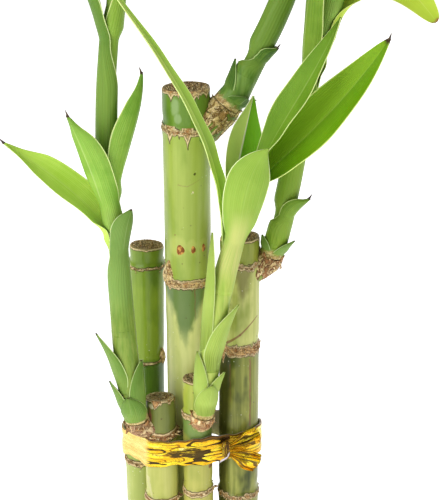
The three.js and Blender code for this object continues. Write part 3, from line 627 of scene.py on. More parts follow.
def crust_finish(name, red=0.0):
    """The dry papery tissue of scales and scars."""
    made = Finish(name, Specular_IOR_Level=0.25)
    net = made.net
    lines = net.noise(made.stretched(1.1, 1.1, 0.2), 1.0, 3.0, 0.6)
    colour = net.mix(lines.rise(0.54, 0.62), crust_colour(net, made.place, red), PALE_EDGE)
    colour = net.mix(lines.line(0.50, 0.035, 0.012) * 0.9, colour, DARK_LINE)
    return made.done(colour, 0.6 + lines * 0.2, lines, 0.4)


def stub_finish(name, green, lean, tones, bare, start=0.33):
    """A stub: green skin grown over with dry fibres that run along it. lean: its axis from +X up, in
    degrees; tones: the dry tissue's light, brown and dark; bare: how much skin shows; start: where along
    it the dry tissue starts, in points."""
    made = Finish(name, Specular_IOR_Level=0.3)
    net = made.net
    along = net.attribute("along")
    light, brown, dark = tones
    x, y, z = net.split(made.place)
    turn = math.radians(lean)
    ahead = x * math.cos(turn) + z * math.sin(turn)
    aside = z * math.cos(turn) - x * math.sin(turn)
    bend = (net.noise(made.place, 0.4, 3.0) - 0.5) * 5.0
    strings = net.noise(net.vector(ahead * 0.22, aside * 0.75 + bend, y * 0.6), 1.0, 3.0, 0.5)
    folds = net.noise(net.vector(ahead * 0.32 + bend, aside * 0.3, y * 0.3 + 9.0), 1.0, 2.0, 0.5)
    dry = net.mix(strings.rise(0.42, 0.58), light, brown)
    dry = net.mix(strings.rise(0.42, 0.37) * 0.7, dry, PALE_EDGE)
    dry = net.mix(folds.line(0.5, 0.035, 0.012) * 0.9, dry, dark)
    dry = net.mix(strings.line(0.52, 0.022, 0.008) * 0.85, dry, dark)
    dry = net.mix(folds.line(0.45, 0.02, 0.008) * 0.8, dry, PALE_EDGE)
    spread = net.noise(made.place, 0.22, 2.0)
    spikes = abs(net.noise(net.vector(aside * 0.55, y * 0.45, 3.0), 1.0, 1.0) - 0.5).rise(0.16, 0.0) * 0.45
    cover = (along + (spread - 0.5) * 0.4 + spikes).rise(start + 0.22, start + 0.27)
    cover = cover * (1.0 - spread.rise(0.57, 0.60) * bare)
    skin = net.mix(net.noise(made.place, 0.15).rise(0.3, 0.7), green, YELLOWED)
    colour = net.mix(cover, skin, dry)
    colour = net.mix(cover * (1.0 - cover) * 3.0, colour, dark)
    height = cover * (folds * 1.2 + strings * 1.4 + strings.line(0.52, 0.0, 0.06) * 0.5)
    return made.done(colour, 0.38 + cover * 0.3, height, 0.5)


def spot_finish(name, dark, light):
    """A root spot or a dried tip: mottled, dull."""
    made = Finish(name, Specular_IOR_Level=0.3)
    grain = made.net.noise(made.place, 0.8, 4.0)
    colour = made.net.mix(grain.rise(0.44, 0.64), dark, light)
    return made.done(colour, 0.55 + grain * 0.1, grain, 0.2)


# The foil's own places: x where it turns slack, its folded front where the painted dark reflections are
# strongest, one dark fold whose darkness is a painted reflection, the height of its rolled lip, and the
# shade beside the knot
SLACK = (-14.2, -16.4)
FRONT_FOLDS = dict(from_y=-14.0, to_x=14.0)
DARK_FOLD = dict(x=-1.6, row=4.6, half_x=7.2, half_row=1.7)
LIP = (8.8, 9.1, 9.7)
KNOT_SHADE = dict(x=13.1, wide=0.8, from_y=-16.0)
# the film's colours: the glints are painted highlights; the dark edge, streak and bar colours are painted
# dark reflections, and the crease colour is painted shade
GOLD = dict(
    deep=tone(240, 178, 10), bright=tone(255, 228, 50), glint=tone(255, 250, 170), bronze=tone(150, 100, 6),
    streak=tone(62, 46, 2), bar=tone(74, 56, 4), hair=tone(104, 70, 8), lip=tone(110, 72, 16),
    slack=tone(236, 190, 84), slack_glint=tone(252, 222, 130), slack_hair=tone(190, 140, 40),
    crease_shade=tone(74, 50, 8), shade=tone(78, 50, 14))


def foil_finish(name, inside):
    """Metallised film: gold with a painted sheen and painted glints, dark streaks painted as reflections
    where its folds face away, painted shade in its creases, and a pale inner side. Left of the canes' front
    it is slack, smooth and pale; one dark fold with bright bars lies in front, its darkness a painted
    reflection."""
    made = Finish(name, Specular_IOR_Level=0.5, Coat_Weight=0.15, Coat_Roughness=0.08)
    net = made.net
    crease_shade = net.attribute("crease_shade")
    run = net.attribute("run")
    row = net.attribute("row")
    flat = net.attribute("inside")
    x, y, _ = net.split(made.place)
    slack = x.rise(*SLACK)
    # bands of painted dark reflection along the folds, strongest on the front folds that face the camera
    seen = (y < FRONT_FOLDS["from_y"]) * (x < FRONT_FOLDS["to_x"])
    lens = net.noise(net.vector(
        run * (seen * 0.035 + 0.04), row * (0.62 - seen * 0.2) + crease_shade * 0.2, 0.0), 1.0, 1.0, 0.4)
    hair = net.noise(net.vector(run * 0.16, row * 1.3, 7.0), 1.0, 2.0, 0.5)
    # painted sheen: the gold lighter and darker in broad patches, with painted glints where it is brightest
    painted_sheen = net.noise(net.vector(run * 0.10, row * 0.5, 3.0), 1.0, 2.0)
    gold = net.mix(painted_sheen.rise(0.35, 0.65), GOLD["deep"], GOLD["bright"])
    gold = net.mix(painted_sheen.rise(0.62, 0.74) * 0.8, gold, GOLD["glint"])
    # painted dark reflections: a brown edge and dark streaks along the folds
    gold = net.mix(lens.line(0.40, 0.028, 0.014) * 0.9, gold, GOLD["bronze"])
    gold = net.mix(lens.line(0.60, 0.05, 0.04) * (seen * 0.5 + 0.5), gold, GOLD["streak"])
    wave = (hair - 0.5) * 2.2
    # one dark fold in front, its darkness a painted reflection, crossed by bright bars
    off_x = (x - DARK_FOLD["x"]) / DARK_FOLD["half_x"]
    off_row = (row - DARK_FOLD["row"] + wave) / DARK_FOLD["half_row"]
    fold = (off_x * off_x + off_row * off_row).rise(1.15, 0.85)
    bars = hair.line(0.47, 0.0, 0.035)
    gold = net.mix(fold * bars, gold, GOLD["bar"])
    gold = net.mix(hair.line(0.5, 0.016, 0.006) * 0.75, gold, GOLD["hair"])
    lip = (row + wave * 0.3).rise(*LIP[:2]) * (row < LIP[2])
    gold = net.mix(lip * 0.85, gold, GOLD["lip"])
    # the slack part: pale gold with a painted sheen and painted glints of its own
    even = net.mix(painted_sheen.rise(0.3, 0.7), GOLD["slack"], GOLD["slack_glint"])
    even = net.mix(hair.line(0.5, 0.010, 0.004) * 0.6, even, GOLD["slack_hair"])
    gold = net.mix(slack, gold, even)
    # painted shade in the folds' hollows
    gold = net.mix(crease_shade.rise(0.70, 0.80) * 0.9, gold, GOLD["crease_shade"])
    shade = x.hill(KNOT_SHADE["x"], KNOT_SHADE["wide"]) * (y < KNOT_SHADE["from_y"])
    gold = net.mix(shade * 0.8, gold, GOLD["shade"])
    colour = net.mix(flat, gold, inside)
    wrinkle = net.noise(net.vector(run * 0.4, row * 2.6, 1.0), 1.0, 3.0, 0.55)
    return made.done(colour, 0.2 + wrinkle * 0.12, wrinkle, 0.18, metallic=0.75 - flat * 0.7)


# Meshes


def lerp(a, b, t):
    """From a to b at the share t."""
    return a + (b - a) * t


def smooth(t):
    """From 0 to 1, level at both ends."""
    t = min(1.0, max(0.0, t))
    return t * t * (3 - 2 * t)


def unit(v):
    return v / np.linalg.norm(v)


def new_piece(name, mesh):
    """An object in the scene that holds a mesh."""
    piece = bpy.data.objects.new(name, mesh)
    bpy.context.scene.collection.objects.link(piece)
    return piece


def quads(rows, count, hoop=False):
    """The faces between neighbouring rings. A hoop's last ring joins its first."""
    faces = []
    for row in range(rows if hoop else rows - 1):
        low, high = row * count, (row + 1) % rows * count
        for i in range(count):
            after = (i + 1) % count
            faces.append((low + i, low + after, high + after, high + i))
    return faces


def closed_mesh(name, rings, numbers, material):
    """A mesh from closed rings of points in millimetres, capped by strips, with numbers on its points."""
    rings = np.asarray(rings, float)
    rows, count, _ = rings.shape
    faces = quads(rows, count)
    last = (rows - 1) * count
    for i in range(count // 2 - 1):
        back = count - 1 - i
        faces.append((i + 1, i, back, back - 1))
        faces.append((last + i, last + i + 1, last + back - 1, last + back))
    return plain_mesh(name, rings.reshape(-1, 3), faces, numbers, material)


def plain_mesh(name, points, faces, numbers, material):
    """A smooth mesh from points in millimetres, its faces turned out, with numbers on its points."""
    mesh = bpy.data.meshes.new(name)
    mesh.from_pydata((np.asarray(points) * MM).tolist(), [], faces)
    for key, values in numbers.items():
        layer = mesh.attributes.new(key, "FLOAT", "POINT")
        layer.data.foreach_set("value", np.asarray(values, np.float32).ravel())
    mesh.materials.append(material)
    mesh.polygons.foreach_set("use_smooth", [True] * len(mesh.polygons))
    mesh.update()
    if signed_volume(mesh) < 0:
        mesh.flip_normals()
    return mesh


def signed_volume(mesh):
    """Six times the volume that a mesh encloses, negative where its faces point inwards."""
    mesh.calc_loop_triangles()
    points = np.zeros(len(mesh.vertices) * 3)
    mesh.vertices.foreach_get("co", points)
    points = points.reshape(-1, 3)
    corners = np.zeros(len(mesh.loop_triangles) * 3, np.int64)
    mesh.loop_triangles.foreach_get("vertices", corners)
    a, b, c = points[corners].reshape(-1, 3, 3).transpose(1, 0, 2)
    return float(np.einsum("ij,ij->", a, np.cross(b, c)))


def joined(name, meshes):
    """Several meshes as one piece."""
    pieces = [new_piece(name if i == 0 else f"{name}_{i}", mesh) for i, mesh in enumerate(meshes)]
    if len(pieces) > 1:
        with bpy.context.temp_override(
                active_object=pieces[0], object=pieces[0], selected_objects=pieces,
                selected_editable_objects=pieces):
            bpy.ops.object.join()
    return pieces[0]


def growth(name, sizes):
    """A Geometry Nodes tree with a named input for each size. Gives its net, its inputs and an ender."""
    tree = bpy.data.node_groups.new(name, "GeometryNodeTree")
    tree.interface.new_socket("Geometry", in_out="INPUT", socket_type="NodeSocketGeometry")
    for key, kind in sizes.items():
        tree.interface.new_socket(key, in_out="INPUT", socket_type=f"NodeSocket{kind}")
    tree.interface.new_socket("Geometry", in_out="OUTPUT", socket_type="NodeSocketGeometry")
    net = Net(tree)
    given = net.add("NodeGroupInput")

    def end(geometry, material):
        whole = net.add("GeometryNodeRealizeInstances", None, geometry)[0]
        shaded = net.add("GeometryNodeSetShadeSmooth", None, Geometry=whole)[0]
        sized = net.add("GeometryNodeTransform", None, Geometry=shaded, Scale=(MM, MM, MM))[0]
        painted = net.add("GeometryNodeSetMaterial", None, Geometry=sized, Material=material)[0]
        net.add("NodeGroupOutput", None, painted)
        return tree

    return net, given, end


def grown(tree, name, values, source=None):
    """The plain mesh that a tree makes from its named values."""
    holder = new_piece(name, source or bpy.data.meshes.new(name))
    modifier = holder.modifiers.new("growth", "NODES")
    modifier.node_group = tree
    for item in tree.interface.items_tree:
        if item.in_out == "INPUT" and item.name in values:
            modifier[item.identifier] = values[item.name]
    graph = bpy.context.evaluated_depsgraph_get()
    mesh = bpy.data.meshes.new_from_object(holder.evaluated_get(graph))
    holder.modifiers.remove(modifier)
    bpy.data.objects.remove(holder)
    return mesh


# Canes


def ring_wave(net, x, y, node, seed):
    """How far a node ring wanders up and down round the cane."""
    where = net.vector(x * 0.9 + seed, y * 0.9, node * 0.37)
    return (net.noise(where, 1.0, 2.0) - 0.5) * 2.6 + y * 1.1


def cane_tree():
    """A cane: a unit tube bent onto its centre line, with node rings, a slanted cut and rough rims."""
    net, given, end = growth("cane_growth", {
        "Foot": "Vector", "Top": "Vector", "Foot Radius": "Float", "Top Radius": "Float",
        "Node 1": "Float", "Node 2": "Float", "Node 3": "Float", "Node 4": "Float",
        "Ridge": "Float", "Rim": "Float", "Slope X": "Float", "Slope Y": "Float",
        "Rows": "Int", "Seed": "Float", "Skin": "Material"})
    tube = net.add(
        "GeometryNodeMeshCylinder", {"fill_type": "TRIANGLE_FAN"}, Vertices=CANE_SIDES,
        Side_Segments=given["Rows"], Fill_Segments=CUT_RINGS, Radius=1.0, Depth=1.0)
    x, y, z = net.split(net.add("GeometryNodeInputPosition")[0])
    foot_x, foot_y, _ = net.split(given["Foot"])
    top_x, top_y, height = net.split(given["Top"])
    share = z + 0.5
    level = share * height
    reach = (x * x + y * y).math("SQRT").math("MAXIMUM", 0.0001)
    unit_x = x / reach
    unit_y = y / reach
    seed = given["Seed"]
    near = None
    for number in ("Node 1", "Node 2", "Node 3", "Node 4"):
        gap = level - given[number] - ring_wave(net, unit_x, unit_y, given[number], seed)
        near = gap if near is None else near + (gap - near) * (abs(gap) < abs(near))
    base_x = foot_x + (top_x - foot_x) * share
    base_y = foot_y + (top_y - foot_y) * share
    radius = given["Foot Radius"] + (given["Top Radius"] - given["Foot Radius"]) * share
    place = net.vector(unit_x * radius + seed * 40.0, unit_y * radius, level)
    crust = net.noise(place, 1.1, 4.0, 0.65) - 0.5
    broad = net.noise(net.move("MULTIPLY", place, (1.0, 1.0, 0.25)), 0.16, 2.0) - 0.5
    body = (
        radius + near.hill(0.75, 0.4) * given["Ridge"] * 0.8 + near.hill(-0.75, 0.45) * given["Ridge"]
        + near.hill(-1.8, 1.6) * 0.16 - near.hill(2.6, 1.7) * 0.22
        + near.hill(0.0, 1.0) * crust * 0.9 + broad * 0.5)
    from_top = height - level
    rim = 1.0 - (from_top / given["Rim"]).math("MINIMUM", 1.0)
    foot_rim = 1.0 - (level / FOOT_RIM).math("MINIMUM", 1.0)
    body = body - rim * 0.3 - foot_rim * 0.35 + from_top.hill(0.0, 1.0) * crust * 0.5
    tilt = from_top.rise(3.0, 0.0) * (x * body * given["Slope X"] + y * body * given["Slope Y"])
    on_cut = (1.0 - reach.math("POWER", 3.0)) * (share > 0.9999)
    sunk = on_cut * (crust * 0.8 - 0.35)
    skin = tube["Mesh"]
    for key, value in (
            ("gap", abs(near)), ("under", near < 0.0), ("from_top", from_top), ("facing", unit_y * -1.0),
            ("cut", (1.0 - reach) * 12.0 * (share > 0.9999))):
        skin = net.stored(skin, key, value)
    moved = net.add(
        "GeometryNodeSetPosition", None, Geometry=skin,
        Position=net.vector(base_x + x * body, base_y + y * body, level + tilt + sunk))[0]
    return end(moved, given["Skin"])


def lottery(net, drawn):
    """Gives draw(low, high, salt), a random number for each point. drawn: the socket of the tree's draw."""
    def draw(low, high, salt):
        return net.add(
            "FunctionNodeRandomValue", {"data_type": "FLOAT"}, None, None, low, high,
            Seed=drawn * 10.0 + salt)[1]
    return draw


def fringe_tree():
    """Small dry scales round a node ring, some up and some down."""
    net, given, end = growth("ring_scales", {
        "Centre": "Vector", "Radius": "Float", "Node": "Float", "Count": "Int", "Length": "Float",
        "Seed": "Float", "Draw": "Int", "Skin": "Material"})
    circle = net.add("GeometryNodeCurvePrimitiveCircle", None, Resolution=given["Count"], Radius=1.0)[0]
    points = net.add(
        "GeometryNodeCurveToPoints", {"mode": "EVALUATED"}, circle)["Points"]
    x, y, _ = net.split(net.add("GeometryNodeInputPosition")[0])
    wave = ring_wave(net, x, y, given["Node"], given["Seed"])
    cx, cy, _ = net.split(given["Centre"])
    draw = lottery(net, given["Draw"])
    out = given["Radius"] + draw(-0.1, 0.25, 1)
    placed = net.add("GeometryNodeSetPosition", None, Geometry=points, Position=net.vector(
        cx + x * out, cy + y * out, given["Node"] + wave + draw(-0.4, 0.5, 2)))[0]
    flake = net.add(
        "GeometryNodeMeshCone", None, Vertices=5, Side_Segments=3, Radius_Top=0.12,
        Radius_Bottom=0.62, Depth=1.0)["Mesh"]
    flat = net.add("GeometryNodeTransform", None, Geometry=flake, Scale=(1.0, 0.28, 1.0))[0]
    turn = net.math("ARCTAN2", y, x) + math.pi / 2
    hangs = draw(0.0, 1.0, 4) < 0.22
    roll = hangs * math.pi + draw(-0.12, 0.12, 3)
    facing = net.vector(roll, draw(1.25, 1.75, 5) * (1.0 - hangs), turn)
    sizes = net.vector(draw(0.5, 1.2, 6), draw(0.6, 1.2, 7), given["Length"] * draw(0.7, 2.0, 8))
    scales = net.add(
        "GeometryNodeInstanceOnPoints", None, Points=placed, Instance=flat, Rotation=facing, Scale=sizes,
        Selection=draw(0.0, 1.0, 9) < 0.45)
    return end(scales[0], given["Skin"])


def fibre_tree():
    """Short broken fibre ends standing on a cut face."""
    net, given, end = growth("cut_fibres", {
        "Centre": "Vector", "Radius": "Float", "Density": "Float", "Slope X": "Float", "Slope Y": "Float",
        "Draw": "Int", "Skin": "Material"})
    disc = net.add(
        "GeometryNodeMeshCircle", {"fill_type": "NGON"}, Vertices=32, Radius=given["Radius"])[0]
    spread = net.add(
        "GeometryNodeDistributePointsOnFaces", {"distribute_method": "RANDOM"}, Mesh=disc,
        Density=given["Density"], Seed=given["Draw"])[0]
    x, y, _ = net.split(net.add("GeometryNodeInputPosition")[0])
    cx, cy, cz = net.split(given["Centre"])
    placed = net.add("GeometryNodeSetPosition", None, Geometry=spread, Position=net.vector(
        cx + x, cy + y, cz + x * given["Slope X"] + y * given["Slope Y"] - 0.45))[0]
    draw = lottery(net, given["Draw"])
    fibre = net.add(
        "GeometryNodeMeshCone", None, Vertices=5, Side_Segments=2, Radius_Top=0.10,
        Radius_Bottom=0.17, Depth=0.9)["Mesh"]
    ends = net.add(
        "GeometryNodeInstanceOnPoints", None, Points=placed, Instance=fibre,
        Rotation=net.vector(draw(-0.5, 0.5, 4), draw(-0.5, 0.5, 5), 0.0),
        Scale=net.vector(draw(0.6, 1.5, 1), draw(0.6, 1.5, 2), draw(0.3, 1.1, 3)))
    return end(ends[0], given["Skin"])


def stalk_tree():
    """A round stalk along a curve, with the curve's radius and a grain in relief."""
    net, given, end = growth("stalk_growth", {
        "Relief": "Float", "Grain": "Float", "Sides": "Int", "Skin": "Material"})
    path = net.stored(given["Geometry"], "along", net.add("GeometryNodeSplineParameter")["Factor"])
    ring = net.add("GeometryNodeCurvePrimitiveCircle", None, Resolution=given["Sides"], Radius=1.0)[0]
    girth = net.add("GeometryNodeInputRadius")[0]
    tube = net.add(
        "GeometryNodeCurveToMesh", None, Curve=path, Profile_Curve=ring, Scale=girth, Fill_Caps=True)[0]
    grain = net.noise(net.add("GeometryNodeInputPosition")[0], given["Grain"], 4.0, 0.6) - 0.5
    normal = net.add("GeometryNodeInputNormal")[0]
    lift = net.add("ShaderNodeVectorMath", {"operation": "SCALE"}, normal, Scale=grain * given["Relief"])[0]
    moved = net.add("GeometryNodeSetPosition", None, Geometry=tube, Offset=lift)[0]
    return end(moved, given["Skin"])


def path_curve(name, points, radii):
    """A curve through points, in millimetres, with a radius at each."""
    curve = bpy.data.curves.new(name, "CURVE")
    curve.dimensions = "3D"
    spline = curve.splines.new("POLY")
    spline.points.add(len(points) - 1)
    for point, place, radius in zip(spline.points, points, radii):
        point.co = (*place, 1.0)
        point.radius = radius
    return curve


def stalk(name, points, radii, relief, grain, sides, skin):
    """A stalk through points with a radius at each. relief: the grain's height; grain: its scale."""
    curve = path_curve(name, points, radii)
    return grown(trees["stalk"], name, {
        "Relief": relief, "Grain": grain, "Sides": sides, "Skin": skin}, curve)


def cane_at(cane, level):
    """A cane's centre and radius at a height."""
    share = level / cane["height"]
    foot, top = cane["foot"], cane["top"]
    radius = cane["radii"][0] + (cane["radii"][1] - cane["radii"][0]) * share
    return foot[0] + (top[0] - foot[0]) * share, foot[1] + (top[1] - foot[1]) * share, radius


def bud_mesh(name, at, size, skin):
    """A pointed scale that stands against the cane beside a node."""
    rows, sides = 14, 16
    rings = []
    for row in range(rows):
        share = row / (rows - 1)
        level = -1 + 2 * share
        girth = math.sqrt(max(0.0006, 1 - level * level)) * (1 - 0.45 * max(0, level))
        angles = np.linspace(0, 2 * math.pi, sides, endpoint=False)
        rings.append(np.stack([
            at[0] + size[0] * girth * np.cos(angles), at[1] + size[1] * girth * np.sin(angles),
            np.full(sides, at[2] + size[2] * level)], 1))
    return closed_mesh(name, rings, {}, skin)


def spot_mesh(name, cane, angle, level, width, tall, skin):
    """An oval root spot, slightly domed, on a cane's side. angle is from +X towards +Y, in degrees."""
    cx, cy, radius = cane_at(cane, level)
    out = np.array([math.cos(math.radians(angle)), math.sin(math.radians(angle)), 0.0])
    side = np.array([-out[1], out[0], 0.0])
    rows, sides = 8, 20
    dome, sunk = 0.45, 0.15
    rings = []
    for row in range(rows):
        share = row / (rows - 1)
        size = max(0.02, math.sqrt(max(0.0, 1 - (1 - share) ** 2)))
        lift = (1 - share) * dome - sunk
        ring = []
        for k in range(sides):
            turn = 2 * math.pi * k / sides
            wobble = 1 + 0.1 * math.sin(3 * turn + level)
            across = width / 2 * size * wobble * math.cos(turn)
            up = tall / 2 * size * wobble * math.sin(turn)
            bend = radius - math.sqrt(max(0.0, radius * radius - across * across))
            ring.append(np.array([cx, cy, level]) + out * (radius + lift - bend) + side * across
                        + np.array([0, 0, up]))
        rings.append(ring)
    return closed_mesh(name, rings, {}, skin)


def boss_mesh(cane_name):
    """The stub that bends out of a cane into line with its shoot."""
    boss = BOSSES[cane_name]
    shoot = SHOOTS[boss["shoot"]]
    place = shoot_frame(shoot, shoot["path"][0][2])
    end = place["centre"] - place["along"] * SEAM
    bend = end - place["along"] * 4
    root = np.array(boss["root"])
    points, radii = [], []
    for t in np.linspace(0, 1, 40):
        points.append((1 - t) ** 2 * root + 2 * t * (1 - t) * bend + t * t * end)
        collar = 0.35 * smooth((t - 0.5) / 0.25) - 0.3 * smooth((t - 0.93) / 0.07)
        radii.append(lerp(*boss["radii"], t) + collar)
    relief = 0.9 if cane_name == "cane_tall" else 0.45
    return stalk(f"{cane_name}_stub", points, radii, relief, 0.8, 40, finishes["stub_" + boss["shoot"]])


def boss_scales(cane_name):
    """Torn scales left round the stub's mouth."""
    boss = BOSSES[cane_name]
    shoot = SHOOTS[boss["shoot"]]
    place = shoot_frame(shoot, shoot["path"][0][2])
    radius = boss["radii"][1] + 0.2
    skin = finishes["crust" if cane_name == "cane_tall" else "crust_red"]
    meshes = []
    draw = np.random.default_rng(int(shoot["path"][0][2] * 10))
    for k in range(STUB_SCALES):
        side = math.radians(k * 33 + draw.uniform(-9, 9))
        out = place["first"] * math.cos(side) + place["second"] * math.sin(side)
        across = np.cross(place["along"], out)
        rise = draw.uniform(1.2, 3.0) * (1 if k % 3 else -0.9)
        width = draw.uniform(1.0, 2.1)
        start = place["centre"] - place["along"] * draw.uniform(0.6, 2.6)
        rings = []
        for share in np.linspace(0, 1, 5):
            half = width * (1 - share ** 1.6) + 0.08
            lean = 0.1 + 0.9 * share * share * draw.uniform(0.4, 1.2)
            middle = start + out * (radius + lean) + place["along"] * rise * share
            ring = [middle + across * half * s - out * 0.35 * abs(s) for s in (-1, -0.5, 0, 0.5, 1)]
            ring += [p - out * 0.22 for p in reversed(ring)]
            rings.append(ring)
        meshes.append(closed_mesh(f"{cane_name}_scale_{k}", rings, {}, skin))
    return meshes


def make_cane(name):
    """A cane with its ring scales, the fibres on its cut, its stub, bud scar and root spots."""
    cane = CANES[name]
    far_below = -60.0
    nodes = list(cane["nodes"]) + [far_below] * (4 - len(cane["nodes"]))
    values = {
        "Foot": (*cane["foot"], 0.0), "Top": (*cane["top"], float(cane["height"])),
        "Foot Radius": cane["radii"][0], "Top Radius": cane["radii"][1],
        "Ridge": NODE_RIDGE, "Rim": RIM, "Slope X": cane["slope"][0], "Slope Y": cane["slope"][1],
        "Rows": int(cane["height"] * CANE_ROWS), "Seed": cane["seed"], "Skin": finishes[name]}
    values.update({f"Node {k + 1}": float(node) for k, node in enumerate(nodes)})
    meshes = [grown(trees["cane"], name, values)]
    for k, node in enumerate(cane["nodes"]):
        cx, cy, radius = cane_at(cane, node)
        meshes.append(grown(trees["fringe"], f"{name}_ring_{k}", {
            "Centre": (cx, cy, 0.0), "Radius": radius + RING_SCALES["out"], "Node": float(node),
            "Count": RING_SCALES["places"], "Length": RING_SCALES["length"], "Seed": cane["seed"],
            "Draw": k + int(cane["seed"] * 10), "Skin": finishes["crust"]}))
    cx, cy, radius = cane_at(cane, cane["height"])
    meshes.append(grown(trees["fibre"], f"{name}_fibres", {
        "Centre": (cx, cy, float(cane["height"])), "Radius": radius - CUT_FIBRES["inset"],
        "Density": CUT_FIBRES["density"], "Slope X": cane["slope"][0], "Slope Y": cane["slope"][1],
        "Draw": int(cane["seed"] * 10), "Skin": finishes["fibre"]}))
    if name in BOSSES:
        meshes.append(boss_mesh(name))
        meshes += boss_scales(name)
    if name in BUDS:
        meshes.append(bud_mesh(f"{name}_bud", BUDS[name]["at"], BUDS[name]["size"], finishes["crust"]))
    for k, (angle, level, width, tall) in enumerate(SPOTS.get(name, ())):
        meshes.append(spot_mesh(f"{name}_spot_{k}", cane, angle, level, width, tall, finishes["spot"]))
    return joined(name + "_skin", meshes)


# Shoots


def shoot_point(path, z):
    """The point on a shoot's centre line at height z: a cubic through its points."""
    last = len(path) - 1
    k = 0
    while k < last - 1 and z > path[k + 1][2]:
        k += 1

    def slope(i, axis):
        a, b = path[max(0, i - 1)], path[min(last, i + 1)]
        return (b[axis] - a[axis]) / (b[2] - a[2])

    step = path[k + 1][2] - path[k][2]
    t = (z - path[k][2]) / step
    place = []
    for axis in (0, 1):
        value = (1 + 2 * t) * (1 - t) ** 2 * path[k][axis] + t * t * (3 - 2 * t) * path[k + 1][axis]
        value += t * (1 - t) ** 2 * step * slope(k, axis) + t * t * (t - 1) * step * slope(k + 1, axis)
        place.append(value)
    return np.array([*place, z])


def shoot_frame(shoot, z):
    """The shoot at height z: its centre, its direction, two unit vectors across it and its girth."""
    path = shoot["path"]
    along = unit(shoot_point(path, z + 0.5) - shoot_point(path, z - 0.5))
    first = unit(np.array([1.0, 0, 0]) - along * along[0])
    girth = lerp(*shoot["girth"], (z - path[0][2]) / (path[-1][2] - path[0][2]))
    return dict(
        centre=shoot_point(path, z), along=along, first=first, second=np.cross(along, first), girth=girth)


def outward(place, side):
    """The direction out of a shoot on a given side."""
    return place["first"] * math.cos(math.radians(side)) + place["second"] * math.sin(math.radians(side))


def sheath_radius(z, below):
    """A sheath's inner radius: inside the leaf below at first, then flared past its mouth."""
    return OUTER_SHEATH if below is None else lerp(INNER_SHEATH, OUTER_SHEATH, smooth((z - below) / FLARE))


def gape_of(leaf):
    """The length over which a sheath opens: its gape, or all of the sheath where that is shorter."""
    return min(leaf["gape"], leaf["mouth"] - leaf["foot"])


def sheath_section(shoot, leaf, z, below):
    """A sheath's cross-section at height z: its midrib, directions, radius and half angle."""
    place = shoot_frame(shoot, z)
    out = outward(place, leaf["side"])
    radius = sheath_radius(z, math.inf if leaf["within"] else below) * place["girth"]
    shut = smooth(1 - (leaf["mouth"] - z) / gape_of(leaf))
    wrap = MOUTH_SPREAD if leaf["within"] else SHEATH_SPREAD
    return dict(
        rib=place["centre"] + out * radius, inward=-out, across=np.cross(place["along"], -out),
        along=place["along"], radius=radius, spread=math.radians(lerp(wrap, leaf["open"], shut)))


def blade_half(leaf, start, t):
    """The blade's half width along it: a slight neck, the broadest part, a drawn-out point."""
    neck = lerp(start, leaf["half"], smooth(t / leaf["broad"]))
    past = max(0.0, (t - leaf["broad"] - 0.05) / (0.95 - leaf["broad"]))
    drawn = 1 - leaf["drawn"] * smooth((t - 0.7) / 0.22)
    return max(TIP_HALF, neck * max(0.0, math.cos(past * math.pi / 2)) ** leaf["blunt"] * drawn)


def bezier(a, b, c, d, t):
    """The point at t on a cubic curve."""
    return (1 - t) ** 3 * a + 3 * t * (1 - t) ** 2 * b + 3 * t * t * (1 - t) * c + t ** 3 * d


def bezier_along(a, b, c, d, t):
    """The direction at t of a cubic curve."""
    return unit((1 - t) ** 2 * (b - a) + 2 * t * (1 - t) * (c - b) + t * t * (d - c))


def blade_sections(leaf, mouth, steps):
    """A blade's cross-sections: its midrib is a cubic curve to the tip, with an untwisted frame."""
    start, tip = mouth["rib"], np.array(leaf["tip"], float)
    first = start + mouth["along"] * leaf["rise"] - mouth["inward"] * leaf["rise"] * DEPARTURE
    if leaf["towards"]:
        first = np.array(leaf["towards"], float)
    second = first + (tip - first) * leaf["reach"]
    second = second + np.array([leaf["lean"], 0, leaf["bow"]])
    inward = mouth["inward"].copy()
    flats = []
    for i in range(PATH_STEPS + 1):
        along = bezier_along(start, first, second, tip, i / PATH_STEPS)
        inward = unit(inward - along * inward.dot(along))
        flats.append(inward.copy())
    fine = [bezier(start, first, second, tip, t) for t in np.linspace(0, 1, 201)]
    length = sum(np.linalg.norm(b - a) for a, b in zip(fine, fine[1:]))
    start_half = mouth["radius"] * mouth["spread"]
    sections = []
    for t in steps:
        along = bezier_along(start, first, second, tip, t)
        k = min(PATH_STEPS - 1, int(t * PATH_STEPS))
        flat = lerp(flats[k], flats[k + 1], t * PATH_STEPS - k)
        flat = unit(flat - along * flat.dot(along))
        turn = Matrix.Rotation(math.radians(leaf["twist"]) * smooth(t * 1.4), 3, Vector(along))
        turned = np.array(turn @ Vector(flat))
        half = blade_half(leaf, start_half, t)
        spread = lerp(mouth["spread"], math.radians(leaf["curl"]), smooth(t * length / FLATTEN))
        sections.append(dict(
            rib=bezier(start, first, second, tip, t), inward=turned, across=np.cross(along, turned),
            radius=half / spread, spread=spread, t=t, run=t * length))
    return sections


# places across a leaf, from margin to margin, closest together at the margins
SHARES = np.sin(np.linspace(-math.pi / 2, math.pi / 2, ARC_POINTS))
BOTH_FACES = np.concatenate([SHARES, SHARES[::-1]])


def leaf_ring(section, wave, keel):
    """A leaf's cross-section: an arc about its midrib, thickest there, with a waved margin."""
    angles = SHARES * section["spread"]
    radius = section["radius"]
    taper = 1 - 0.62 * np.abs(SHARES) ** 4
    ridge = keel * np.exp(-(SHARES * radius * section["spread"] / 1.1) ** 2)
    offset = wave * np.abs(SHARES) ** 2.5 * np.where(SHARES > 0, 1.0, 0.7)
    ring = []
    for depth in (0.0, BLADE):
        depths = np.full(len(SHARES), depth) * taper + ridge
        inward = radius - (radius + depths) * np.cos(angles) + offset
        across = (radius + depths) * np.sin(angles)
        face = section["rib"] + np.outer(inward, section["inward"]) + np.outer(across, section["across"])
        ring.append(face if depth == 0 else face[::-1])
    return np.concatenate(ring)


